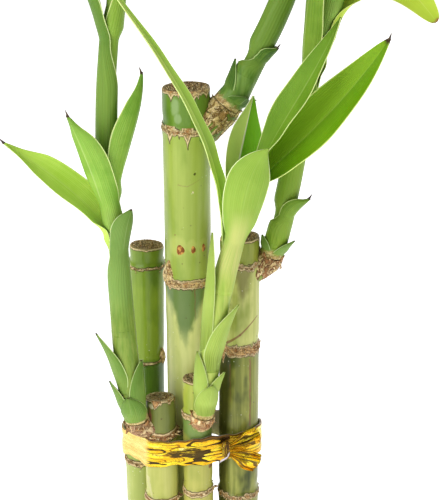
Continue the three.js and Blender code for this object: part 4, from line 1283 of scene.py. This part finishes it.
def leaf_numbers(rows):
    """A leaf's numbers on its points: across, along and length. rows: along and length of each ring."""
    return {
        "across": [BOTH_FACES] * len(rows),
        "along": [np.full(len(BOTH_FACES), along) for along, _ in rows],
        "length": [np.full(len(BOTH_FACES), length) for _, length in rows]}


def leaf_meshes(name, shoot, leaf, below):
    """A leaf's sheath and blade in one mesh, and its dry tip. below: the mouth of the sheath below."""
    foot = leaf["foot"] if below else leaf["foot"] - FIRST_OVERLAP
    count = max(8, int((leaf["mouth"] - foot) / SHEATH_STEP))
    levels = np.linspace(foot, leaf["mouth"], count)
    sheath = [sheath_section(shoot, leaf, z, below) for z in levels]
    if not below:
        for z, section in zip(levels, sheath):
            swell = FIRST_SWELL * smooth(1 - (z - foot) / 12)
            section["radius"] += swell
            section["rib"] = section["rib"] - section["inward"] * swell
    depth = leaf["mouth"] - leaf["foot"]
    for z, section in zip(levels, sheath):
        section.update(t=(z - leaf["mouth"]) / depth, run=z - leaf["mouth"])
    steps = np.concatenate([np.linspace(0, 1, BLADE_ROWS)[1:-6], 1 - np.linspace(POINT_SHARE, 0, POINT_ROWS)])
    blade = blade_sections(leaf, sheath[-1], np.unique(np.round(steps, 6)))
    phase = leaf["mouth"] * 1.7
    rings, rows = [], []
    for section in sheath + blade:
        t = max(0.0, section["t"])
        wave = 0.45 * smooth(t / 0.3) * (1 - t) ** 0.5 * math.sin(section["run"] * 0.33 + phase)
        keel = 0.28 * smooth(t / 0.15) * (1 - t) ** 0.7
        rings.append(leaf_ring(section, wave, keel))
        rows.append((section["t"], section["run"] + phase * 10))
    meshes = [closed_mesh(name, rings, leaf_numbers(rows), finishes["leaf_" + leaf["look"]])]
    if leaf["dry"]:
        last, before = blade[-1], blade[-6]
        ahead = unit(last["rib"] - before["rib"])
        bend = last["inward"] * 0.5 + last["across"] * math.sin(phase) * 0.5
        shares = np.linspace(0, 1, 10)
        points = [last["rib"] + ahead * (u * DRY_TIP - DRY_TIP_SUNK) + bend * u * u for u in shares]
        radii = 0.42 * (1 - shares) ** 0.7 + 0.05
        meshes.append(stalk(name + "_tip", points, radii, 0.1, 1.5, 8, finishes["dry_tip"]))
    return meshes


def bract_mesh(name, shoot, bract, skin):
    """A pointed scale that leaves the stem towards its tip."""
    side, low, high, half, lift = bract
    rings, rows = [], []
    for t in np.linspace(0, 1, 26):
        z = lerp(low, high, t)
        place = shoot_frame(shoot, z)
        foot = BARE_STEM * place["girth"]
        out = outward(place, side)
        sunk = 0.75 * (1 - smooth((t - 0.1) / 0.35))
        reach = foot - sunk + lift * (0.1 * smooth(t / 0.35) + 0.9 * smooth((t - 0.25) / 1.5) * 2)
        reach = min(reach, foot + lift)
        width = math.sin(math.pi * min(1, 0.25 + t * 0.75)) ** 0.8 if t > 0.35 else 1.0
        width = lerp(0.72, 1.0, smooth(t / 0.3)) * max(0.06, width)
        section = dict(
            rib=place["centre"] + out * reach, inward=-out, across=np.cross(place["along"], -out),
            radius=foot, spread=half * width / foot)
        rings.append(leaf_ring(section, 0.12 * math.sin(t * 9), 0.1))
        rows.append((lerp(-0.5, 1, t), z))
    return closed_mesh(name, rings, leaf_numbers(rows), skin)


def make_stem(name):
    """A stem with its bracts: bare up to the first sheath's seat, then a thin core."""
    shoot, stem = SHOOTS[name], STEMS[name]
    begin, bare, ends = shoot["path"][0][2], stem["bare_to"], stem["ends"]
    seat = OUTER_SHEATH - SEAT_GAP

    def radius(z):
        if z <= bare:
            swell = 0.12 * math.exp(-((z - lerp(begin, bare, 0.45)) / 1.2) ** 2)
            return lerp(stem["foot"], BARE_STEM, smooth((z - begin) / (bare - begin) / 0.6)) + swell
        if z <= bare + SEAT_HEIGHT:
            return seat
        return lerp(seat, CORE, smooth((z - bare - SEAT_HEIGHT) / 1.8)) if z < ends - 1 else CORE * 0.6

    seat_levels = [bare + up for up in (0, 0.12, 0.6, SEAT_HEIGHT, 2, 3)]
    levels = np.concatenate([np.arange(begin, bare, 0.5), seat_levels, np.linspace(bare + 4, ends, 30)])
    points = [shoot_point(shoot["path"], z) for z in levels]
    radii = [radius(z) * shoot_frame(shoot, z)["girth"] for z in levels]
    skin = finishes["stem_" + name]
    meshes = [stalk(f"stem_{name}_stalk", points, radii, 0.25, 0.3, 48, skin)]
    look = finishes["leaf_" + {"tall": "dark", "front": "pale"}.get(name, "bract")]
    for k, bract in enumerate(stem["bracts"]):
        meshes.append(bract_mesh(f"stem_{name}_bract_{k}", shoot, bract, look))
    return joined(f"stem_{name}_skin", meshes)


def sheath_foot(below, floor):
    """A sheath's foot shows through the gape of the sheath below, above the flare of that one."""
    shown = below["mouth"] - gape_of(below) - TUCK
    return min(max(shown, floor), below["mouth"] - TUCK)


def make_leaves(name):
    """A shoot's leaves, one inside the other."""
    below = None
    floor = STEMS[name]["bare_to"] + CORE_FROM
    for label, side, mouth, tip, half, curl, rise, bow, twist, more in LEAVES[name]:
        leaf = dict(
            side=side, mouth=mouth, tip=tip, half=half, curl=curl, rise=rise, bow=bow, twist=twist,
            open=MOUTH_SPREAD, reach=REACH, gape=GAPE, broad=BROAD, blunt=POINT, towards=None, within=False,
            lean=0, drawn=0.4, dry=True)
        leaf.update(more)
        if "foot" not in leaf:
            leaf["foot"] = sheath_foot(below, floor)
        node = f"leaf_{name}_{label}"
        meshes = leaf_meshes(node + "_blade", SHOOTS[name], leaf, below and below["mouth"])
        slot = "leaf_dark" if name == "tall" else "leaf_young" if node in YOUNG else "leaf"
        settle(joined(node + "_blade", meshes), node, slot)
        if not leaf["within"]:
            floor = below["mouth"] + FLARE if below else floor
            below = leaf


# The tie

def tie_path(steps=720, least=0.35, stride=0.45):
    """The line that the strip follows: at each bearing it touches the cane that reaches furthest.
    least: the shortest step that is kept; stride: the longest one."""
    points = []
    for k in range(steps):
        angle = k / steps * 2 * math.pi
        normal = np.array([math.cos(angle), math.sin(angle)])
        best = None
        for cane in CANES.values():
            cx, cy, radius = cane_at(cane, TIE["middle"])
            reach = np.dot((cx, cy), normal) + radius
            if best is None or reach > best[0]:
                best = (reach, cx, cy, radius)
        _, cx, cy, radius = best
        out = radius + SEAM + 0.1
        x, y = cx + normal[0] * out, cy + normal[1] * out
        points.append((x, y, TIE["middle"] + TIE["lean"] * x))
    even = [points[0]]
    for point in points[1:]:
        start = even[-1]
        gap = math.dist(point, start)
        if gap > least:
            count = max(1, int(gap / stride))
            even += [tuple(lerp(np.array(start), np.array(point), i / count)) for i in range(1, count + 1)]
    return even


def band_waves(length):
    """Waves that open and close the strip's folds, each a whole number of turns round the bundle."""
    draw = np.random.default_rng(11)
    waves = []
    for _ in range(9):
        pace, phase, rate, shift = (
            draw.uniform(0.05, 0.16), draw.uniform(0, 6.3), draw.uniform(0.5, 1.7), draw.uniform(0, 6.3))
        turns = max(1, round(pace * length / (2 * math.pi)))
        waves.append((turns, phase, rate, shift))
    return waves


def fold_at(waves, s, angle):
    """How far the strip's folds stand up, 0 to 1: s is across it, from -1 to 1, and angle along it."""
    fold = 0.0
    for turns, phase, rate, shift in waves:
        bend = s * rate * 3 + shift + 0.8 * math.sin(turns * angle + phase)
        fold += 1 - abs(math.sin(bend)) ** 0.7
    return fold / len(waves)


def make_band():
    """The crumpled strip: long folds along it that open and close, brightest on their crests."""
    path = np.array(tie_path())
    count, columns = len(path), STRIP_ROWS + 1
    after = np.roll(path, -1, 0) - np.roll(path, 1, 0)
    out = np.stack([after[:, 1], -after[:, 0], np.zeros(count)], 1)
    out /= np.linalg.norm(out, axis=1)[:, None]
    run = np.concatenate([[0], np.cumsum(np.linalg.norm(np.diff(path, axis=0), axis=1))])
    length = run[-1] + np.linalg.norm(path[0] - path[-1])
    waves = band_waves(length)
    rings, crease_shade = [], []
    for k in range(count):
        angle = run[k] / length * 2 * math.pi
        edge_low = 0.35 * math.sin(7 * angle) + 0.2 * math.sin(19 * angle + 1)
        edge_high = 0.35 * math.sin(6 * angle + 2) + 0.2 * math.sin(23 * angle)
        inner, outer, marks = [], [], []
        for row in range(columns):
            s = -1 + 2 * row / STRIP_ROWS
            up = s * TIE["width"] / 2 + (edge_high if s > 0 else edge_low) * s * s
            fold = fold_at(waves, s, angle)
            inner.append(path[k] + np.array([0, 0, up]))
            outer.append(inner[-1] + out[k] * (TIE["thick"] + fold * 0.6 - 0.05))
            # crease numbers: low on a fold's crest; here they only steer the painted dark reflections
            marks.append((1 - fold * 1.9) * 0.6)
        rings.append(inner + outer[::-1])
        crease_shade.append([0.0] * columns + marks[::-1])
    heights = [TIE["width"] * row / STRIP_ROWS for row in range(columns)]
    numbers = {
        "crease_shade": crease_shade, "inside": ([1.0] * columns + [0.0] * columns) * count,
        "run": np.repeat(run, 2 * columns), "row": (heights + heights[::-1]) * count}
    faces = quads(count, 2 * columns, hoop=True)
    points = np.array(rings).reshape(-1, 3)
    return new_piece("foil_band_film", plain_mesh("foil_band_film", points, faces, numbers, finishes["foil"]))


def fan_mesh(name, fan, draw):
    """A gathered end of the strip: pleats open from the knot towards a torn edge."""
    root, tip = np.array(fan["root"]), np.array(fan["tip"])
    along = unit(tip - root)
    face = np.array([0, -1.0, 0])
    across = unit(np.cross(along, face))
    length = np.linalg.norm(tip - root)
    columns = FAN_COLUMNS + 1
    ragged = draw.uniform(-0.5, 0.5, columns)
    rings, crease_shade, run = [], [], []
    for t in np.arange(FAN_ROWS + 1) / FAN_ROWS:
        spread = lerp(FAN_ROOT, fan["half"], smooth(t * 1.3))
        line, marks = [], []
        for col in range(columns):
            s = -1 + 2 * col / FAN_COLUMNS
            bend = 0.7 * math.sin(2.2 * t + s) + 1.3 * t * math.sin(4.3 * s + 5 * t + fan["wave"] * 4)
            pleat = 1 - 2 * abs(math.sin(s * fan["pleats"] + bend)) ** 0.8
            hollow = 0.6 * math.sin(2.4 * s + 3 * t) * t
            reach = length * t * (1 + 0.05 * ragged[col] * t + 0.06 * math.cos(s * 2.0))
            lift = (0.18 + 0.75 * t) * pleat * 0.6 + hollow + fan["wave"] * t * s
            line.append(root + along * reach + across * spread * s + face * (lift + FAN_LIFT))
            # crease numbers: painted shade in the pleats' hollows, and a painted shadow where the fan curls
            # in its middle
            hole = math.exp(-((s - 0.1) ** 2 + (t - 0.45) ** 2) / 0.05)
            marks.append(0.24 - 0.62 * pleat + fan["hole"] * hole)
        rings.append(line + [place + face * FAN_FILM for place in reversed(line)])
        crease_shade.append(marks + marks[::-1])
        run.append([length * t] * 2 * columns)
    fanned = [FAN_GATHER * col / FAN_COLUMNS for col in range(columns)]
    numbers = {
        "crease_shade": crease_shade, "inside": np.zeros_like(crease_shade), "run": run,
        "row": (fanned + fanned[::-1]) * len(rings)}
    return closed_mesh(name, rings, numbers, finishes["foil"])


def neck_mesh(rows=40, sides=64):
    """The knot's pleated neck, narrow in the middle."""
    centre, size = np.array(NECK["centre"]), NECK["size"]
    rings, crease_shade = [], []
    for row in range(rows):
        level = -1 + 2 * row / (rows - 1)
        girth = math.sqrt(max(0.0008, 1 - level * level))
        waist = 0.55 + 0.45 * level * level
        ring, marks = [], []
        for k in range(sides):
            turn = 2 * math.pi * k / sides
            pleat = abs(math.sin(turn * NECK["pleats"] + level * 1.2))
            out = girth * (1 - 0.22 * (1 - pleat))
            ring.append(centre + np.array([
                size[0] * out * math.cos(turn) * waist, size[1] * out * math.sin(turn), size[2] * level]))
            # crease numbers: painted shade in the pleats' hollows
            marks.append(1.5 - pleat)
        rings.append(ring)
        crease_shade.append(marks)
    numbers = {
        "crease_shade": crease_shade, "inside": np.zeros((rows, sides)), "run": np.repeat(np.arange(rows) * 0.16, sides),
        "row": np.tile(np.arange(sides) * 0.4, (rows, 1))}
    return closed_mesh("foil_knot_neck", rings, numbers, finishes["foil"])


def curl_mesh(rows=30):
    """A curled strip end, its pale side out."""
    curl = np.array(CURL)
    shares = (-1, -0.5, 0, 0.5, 1)
    rings = []
    for t in np.linspace(0, 1, rows):
        spot = min(t * (len(curl) - 1), len(curl) - 1.001)
        low = int(spot)
        middle = lerp(curl[low], curl[low + 1], smooth(spot - low))
        half = 0.75 - 0.2 * t
        lean = unit(np.array([0.5, -0.2 + 0.5 * t, 0.8]))
        ring = [middle + lean * half * s for s in shares]
        rings.append(ring + [place + np.array([0, 0.25, 0]) for place in reversed(ring)])
    ones = np.ones((rows, 2 * len(shares)))
    numbers = {"crease_shade": ones * 0.0, "inside": ones, "run": ones, "row": ones}
    return closed_mesh("foil_knot_curl", rings, numbers, finishes["foil"])


def make_knot():
    """The knot: its neck, two fans and a curled end."""
    draw = np.random.default_rng(5)
    fans = (fan_mesh(f"foil_knot_fan_{k}", fan, draw) for k, fan in enumerate(FANS))
    return joined("foil_knot_film", [neck_mesh(), *fans, curl_mesh()])


# The stage: a pale floor, soft light and the photograph's viewing angle

FLOOR_REACH = dict(x=(-6000, 6000), y=(-4000, 9000))
FLOOR_TONES = (0.93, 0.93, 0.93), (0.96, 0.96, 0.96)
WHITE = (1.0, 1.0, 1.0)
# lamps and camera, in metres, watts and degrees; lens and sensor are in millimetres
ROOM_LIGHT = 0.26
AIM = (0, 0, 0.16)
LIGHTS = {
    "key": dict(place=(-0.84, -0.74, 0.62), size=(0.75, 0.90), power=8.8),
    "fill": dict(place=(0.95, -0.70, 0.40), size=(0.30, 0.80), power=1.5),
    "top": dict(place=(0.0, 0.1, 1.3), size=(1.0, 1.0), power=3.2),
    "back": dict(place=(0.5, 1.1, 0.5), size=(0.9, 0.9), power=3.6),
}
CAMERA = dict(place=(0.01085, -0.59891, 0.32727), pitch=17, lens=127.54, sensor=36, sees_to=50)


def make_floor():
    """A wide pale floor that glows a little, so that it comes out white."""
    floor = Finish("pale_floor", Roughness=0.9, Specular_IOR_Level=0.1, Emission_Strength=0.8)
    net = floor.net
    grain = net.noise(floor.place, 0.01, 2.0)
    net.put(floor.shader.inputs["Emission Color"], WHITE)
    floor.done(net.mix(grain, *FLOOR_TONES))
    (left, right), (near, far) = FLOOR_REACH["x"], FLOOR_REACH["y"]
    corners = [(left, near, 0), (right, near, 0), (right, far, 0), (left, far, 0)]
    new_piece("floor", plain_mesh("floor", corners, [(0, 1, 2, 3)], {}, floor.material))


def make_light():
    """Soft light from all round, and four large lamps aimed at the middle of the bundle."""
    world = bpy.data.worlds.new("soft_room")
    world.use_nodes = True
    background = world.node_tree.nodes["Background"]
    background.inputs["Color"].default_value = (*WHITE, 1.0)
    background.inputs["Strength"].default_value = ROOM_LIGHT
    bpy.context.scene.world = world
    bpy.context.scene.view_settings.view_transform = "Standard"
    for name, softbox in LIGHTS.items():
        light = bpy.data.lights.new(name, "AREA")
        light.shape = "RECTANGLE"
        light.size, light.size_y = softbox["size"]
        light.energy = softbox["power"]
        lamp = bpy.data.objects.new(name, light)
        lamp.location = softbox["place"]
        lamp.rotation_euler = (Vector(AIM) - lamp.location).to_track_quat("-Z", "Y").to_euler()
        bpy.context.scene.collection.objects.link(lamp)


def make_camera():
    """The photograph's view: from the knot's side, looking down on the bundle."""
    camera = bpy.data.cameras.new("camera")
    camera.lens = CAMERA["lens"]
    camera.sensor_width = CAMERA["sensor"]
    camera.clip_end = CAMERA["sees_to"]
    holder = bpy.data.objects.new("camera", camera)
    holder.location = CAMERA["place"]
    holder.rotation_euler = (math.pi / 2 - math.radians(CAMERA["pitch"]), 0, 0)
    bpy.context.scene.collection.objects.link(holder)
    bpy.context.scene.camera = holder


def settle(piece, node, slot):
    """A finished piece stands for its node: the node is hidden, and the piece hangs from the root."""
    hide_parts(node)
    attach(piece, "root")



# The finishes of this bundle

STEM_TONES = {
    "left": (tone(148, 170, 76), tone(124, 154, 58), tone(92, 130, 38)),
    "front": (tone(190, 207, 100), tone(166, 192, 80), tone(136, 170, 60)),
    "right": (tone(142, 171, 54), tone(118, 153, 36), tone(96, 135, 24)),
    "tall": (tone(112, 145, 54), tone(82, 121, 34), tone(56, 97, 24)),
}
finishes = {
    "cane_tall": cane_finish(
        "cane_tall_skin", [
            (0, tone(214, 218, 122), tone(190, 200, 96), tone(160, 178, 70)),
            (79, tone(210, 213, 134), tone(192, 200, 112), tone(166, 180, 90)),
            (134.5, tone(170, 187, 84), tone(146, 168, 60), tone(120, 150, 40)),
            (189.5, tone(108, 142, 40), tone(80, 118, 22), tone(58, 92, 14))],
        wedges=[(134.5, 25, -1.6, 9.0, PATCH, 0.85), (79, 12, -1, 5, PATCH, 0.4)],
        strokes=[
            ((-4.0, 170.0), (-0.9, 169.4), 0.16, 0.12, tone(150, 140, 70), 0.8),
            ((-0.9, 169.4), (3.6, 171.7), 0.12, 0.05, tone(150, 140, 70), 0.8),
            ((1.7, 132.0), (1.7, 120.6), 0.16, 0.05, BROWN, 0.7)],
        # the two pale green flecks on the top internode, at heights 197.4 and 193.2, are painted highlights
        flecks=[
            ((1.9, 173.9), 0.45, 0.5, tone(62, 59, 10), 0.9), ((1.2, 167.4), 0.35, 0.45, CREAM, 0.9),
            ((-5.2, 151.8), 0.3, 0.3, BROWN, 0.6), ((-4.9, 197.4), 1.5, 3.2, tone(190, 210, 160), 0.3),
            ((-3.9, 193.2), 1.3, 1.9, tone(190, 210, 160), 0.3), ((-4.2, 147.8), 3.3, 4.0, HALO, 0.4),
            ((0.7, 148.0), 1.9, 2.6, HALO, 0.35), ((4.9, 148.0), 1.6, 2.6, HALO, 0.35)],
        points=[
            (-6.7, 189.4, 5.4, 1.9), (-0.5, 188.8, 6.4, 2.0), (-3.5, 188.8, 2.6, 0.9), (3.9, 188.8, 3.6, 1.6),
            (-6.3, 203.4, 4.4, 3.0), (1.6, 203.4, 5.0, 2.7), (-2.8, 203.2, 2.4, 1.3), (5.9, 203.4, 3.6, 2.6)],
        mottle=0.45, torn=1.3, wide_rings=((134.5, 0.7),), drip=2.6, rim=1.4),
    "cane_back_left": cane_finish(
        "cane_back_left_skin", [
            (0, tone(88, 121, 36), tone(68, 101, 26), tone(50, 81, 16)),
            (100, tone(138, 163, 46), tone(112, 141, 24), tone(84, 117, 14)),
            (136, tone(124, 149, 42), tone(98, 129, 20), tone(70, 101, 10))],
        wedges=[(136, 10, -13, 4, tone(72, 105, 22), 0.6)], mottle=0.35, rim=0.6, drip=0.4, ring=0.35,
        rim_drip=0.3, pith=(tone(150, 124, 76), tone(206, 182, 124))),
    "cane_front_left": cane_finish(
        "cane_front_left_skin", [
            (0, tone(198, 197, 112), tone(182, 181, 90), tone(152, 161, 68)),
            (56, tone(196, 197, 108), tone(178, 181, 84), tone(150, 161, 64)),
            (81, tone(122, 130, 58), tone(100, 112, 42), tone(80, 94, 30))],
        strokes=[
            ((-14.3, 90.3), (-14.3, 81.0), 0.25, 0.9, RED_BROWN, 0.9),
            ((-15.4, 63.6), (-13.8, 56.4), 0.7, 0.3, CREAM, 0.35)],
        flecks=[((-13.7, 91.4), 1.1, 1.0, CREAM, 0.9)], streaky=0.5, mottle=0.4, rim=0.6, drip=2.0, red=0.8,
        wide_rings=((81, 0.6),),
        pith=(tone(214, 188, 142), tone(250, 232, 190))),
    "cane_far_left": cane_finish(
        "cane_far_left_skin", [
            (0, tone(186, 194, 108), tone(162, 176, 82), tone(138, 157, 60)),
            (66, tone(162, 180, 78), tone(136, 160, 56), tone(114, 142, 40))], mottle=0.4),
    "cane_front": cane_finish(
        "cane_front_skin", [
            (0, tone(192, 188, 98), tone(170, 168, 74), tone(144, 148, 56)),
            (59.6, tone(186, 184, 92), tone(162, 167, 68), tone(128, 144, 50)),
            (88.5, tone(184, 193, 82), tone(158, 175, 58), tone(132, 157, 40))],
        wedges=[(88.5, 14, 3.0, 13.0, tone(104, 138, 66), 0.8)],
        flecks=[((7.2, 68.7), 0.8, 0.9, BROWN, 0.9)], mottle=0.4, rim=0.9),
    "cane_right": cane_finish(
        "cane_right_skin", [
            # below 112 the skin is its own mottled dark green, made darker still by painted shade from the
            # front cane
            (0, tone(160, 163, 76), tone(102, 112, 24), tone(48, 60, 2)),
            (112, tone(204, 207, 122), tone(178, 186, 90), tone(148, 160, 66)),
            (143, tone(152, 159, 58), tone(122, 135, 34), tone(96, 111, 20))],
        # the last wedge, long and dark from 112 down on the cane's left side, is painted shade cast by the
        # front cane
        wedges=[
            (143, 17, 18.4, 5.0, tone(112, 104, 44), 0.75), (112, 13, 13.0, 6.0, tone(76, 91, 14), 0.6),
            (112, 190, 10.6, 4.6, tone(58, 60, 18), 0.85)],
        strokes=[
            ((11.2, 112.6), (17.5, 117.3), 0.5, 0.35, BROWN, 0.8),
            ((17.5, 117.3), (23.4, 123.2), 0.35, 0.15, BROWN, 0.8),
            ((21.1, 108.0), (21.2, 83.0), 0.35, 0.25, tone(138, 88, 58), 0.7),
            ((14.0, 106.0), (14.2, 92.0), 0.2, 0.1, tone(138, 88, 58), 0.4)],
        streaky=0.75, mottle=1.0, red=0.45, torn=2.4, wide_rings=((112, 1.0),)),
    "crust": crust_finish("dry_scale"),
    "crust_red": crust_finish("dry_scale_red", 0.8),
    "fibre": crust_finish("cut_fibre"),
    "spot": spot_finish("root_spot", tone(136, 78, 26), tone(214, 156, 76)),
    "dry_tip": spot_finish("dry_tip", tone(56, 44, 34), tone(112, 92, 58)),
    "foil": foil_finish("gold_film", tone(206, 196, 204)),
}
STUBS = {
    "tall": dict(
        green=tone(96, 130, 34), lean=44, bare=0.9,
        tones=(tone(204, 178, 112), tone(156, 122, 62), tone(92, 66, 20))),
    "right": dict(
        green=tone(134, 150, 54), lean=62, bare=0.2, start=0.2,
        tones=(tone(200, 172, 112), tone(158, 110, 66), tone(96, 52, 28))),
    "left": dict(
        green=tone(120, 132, 60), lean=100, bare=0.2, start=0.1,
        tones=(tone(206, 170, 122), tone(178, 134, 98), tone(132, 88, 62))),
    "front": dict(
        green=tone(160, 180, 92), lean=88, bare=0.2, start=0.42,
        tones=(tone(226, 198, 140), tone(200, 150, 108), tone(150, 88, 60))),
}
for shoot_name, look in STUBS.items():
    finishes["stub_" + shoot_name] = stub_finish(f"stub_{shoot_name}_skin", **look)
for shoot_name, tones in STEM_TONES.items():
    finishes["stem_" + shoot_name] = stem_finish(f"stem_{shoot_name}_skin", *tones)
# Leaf colours. bright, vivid and deep are lighter than the leaves' own green, painted light on leaves that
# turn from the lamps or lie in another's shadow; split in vivid, strap and deep paints one half of the blade
# lit and the other shaded
LOOKS = {
    "pale": dict(light=tone(178, 202, 96), deep=tone(156, 184, 76), sheath=tone(130, 153, 54),
                 margin=tone(214, 230, 150), rib=0.1, singe=0.996, streak=0.35),
    "bright": dict(light=tone(212, 242, 112), deep=tone(174, 220, 68), sheath=tone(162, 191, 68),
                   margin=tone(204, 230, 124)),
    "hanging": dict(light=tone(206, 224, 86), deep=tone(184, 212, 60), sheath=tone(180, 208, 76),
                    margin=tone(220, 233, 124), singe=0.985, burnt=tone(168, 122, 60)),
    "whole": dict(light=tone(125, 165, 46), deep=tone(96, 140, 22), sheath=tone(140, 172, 66),
                  margin=tone(224, 238, 154), rib=0.15, singe=1.2),
    "fresh": dict(light=tone(158, 197, 82), deep=tone(102, 154, 38), sheath=tone(144, 178, 78),
                  margin=tone(220, 236, 154)),
    "muted": dict(light=tone(128, 161, 78), deep=tone(104, 141, 56), sheath=tone(130, 164, 76),
                  margin=tone(210, 226, 160), rib=0.15),
    "vivid": dict(light=tone(222, 246, 130), deep=tone(104, 170, 6), sheath=tone(150, 190, 70),
                  margin=tone(250, 250, 210), split=0.95, rib=1.0, singe=1.2),
    "strap": dict(light=tone(206, 230, 118), deep=tone(150, 188, 68), sheath=tone(140, 172, 62),
                  margin=tone(224, 240, 154), split=0.7, rib=0.4, relief=0.03),
    "tongue": dict(light=tone(158, 190, 76), deep=tone(130, 168, 52), sheath=tone(206, 208, 124),
                   margin=tone(236, 248, 182), rib=0.03, streak=0.4, belly=0.9, singe=1.2, relief=0.05),
    "reed": dict(light=tone(106, 140, 50), deep=tone(78, 118, 32), sheath=tone(122, 155, 60),
                 margin=tone(214, 228, 156), streak=0.6),
    "sheath": dict(light=tone(130, 162, 52), deep=tone(96, 134, 28), sheath=tone(134, 165, 54),
                   margin=tone(208, 223, 140), streak=0.6),
    "bract": dict(light=tone(132, 164, 76), deep=tone(100, 138, 50), sheath=tone(124, 153, 62),
                  margin=tone(206, 226, 150), rib=0.1, streak=0.6, singe=0.97),
    "deep": dict(light=tone(152, 198, 40), deep=tone(104, 156, 8), sheath=tone(138, 174, 50),
                 margin=tone(230, 248, 144), split=0.6, rib=0.1),
    "dark": dict(light=tone(116, 148, 54), deep=tone(56, 96, 18), sheath=tone(104, 137, 46),
                 margin=tone(190, 214, 138), streak=0.9),
}
for look, tints in LOOKS.items():
    finishes["leaf_" + look] = leaf_finish(f"leaf_{look}_skin", **tints)
for shoot_name, look in (("left", "muted"), ("front", "tongue"), ("right", "sheath"), ("tall", "dark")):
    finishes[f"leaf_{shoot_name}_first"] = leaf_finish(
        f"leaf_{shoot_name}_first_skin", foot=STEM_TONES[shoot_name], **LOOKS[look])
trees = {"cane": cane_tree(), "fringe": fringe_tree(), "fibre": fibre_tree(), "stalk": stalk_tree()}

# The dressed bundle

make_camera()
make_floor()
make_light()
for cane_name in CANES:
    settle(make_cane(cane_name), cane_name, CANES[cane_name]["slot"])
for shoot_name in SHOOTS:
    settle(make_stem(shoot_name), f"stem_{shoot_name}", "stem_dark" if shoot_name == "tall" else "stem")
    make_leaves(shoot_name)
settle(make_band(), "foil_band", "foil")
settle(make_knot(), "foil_knot", "foil")
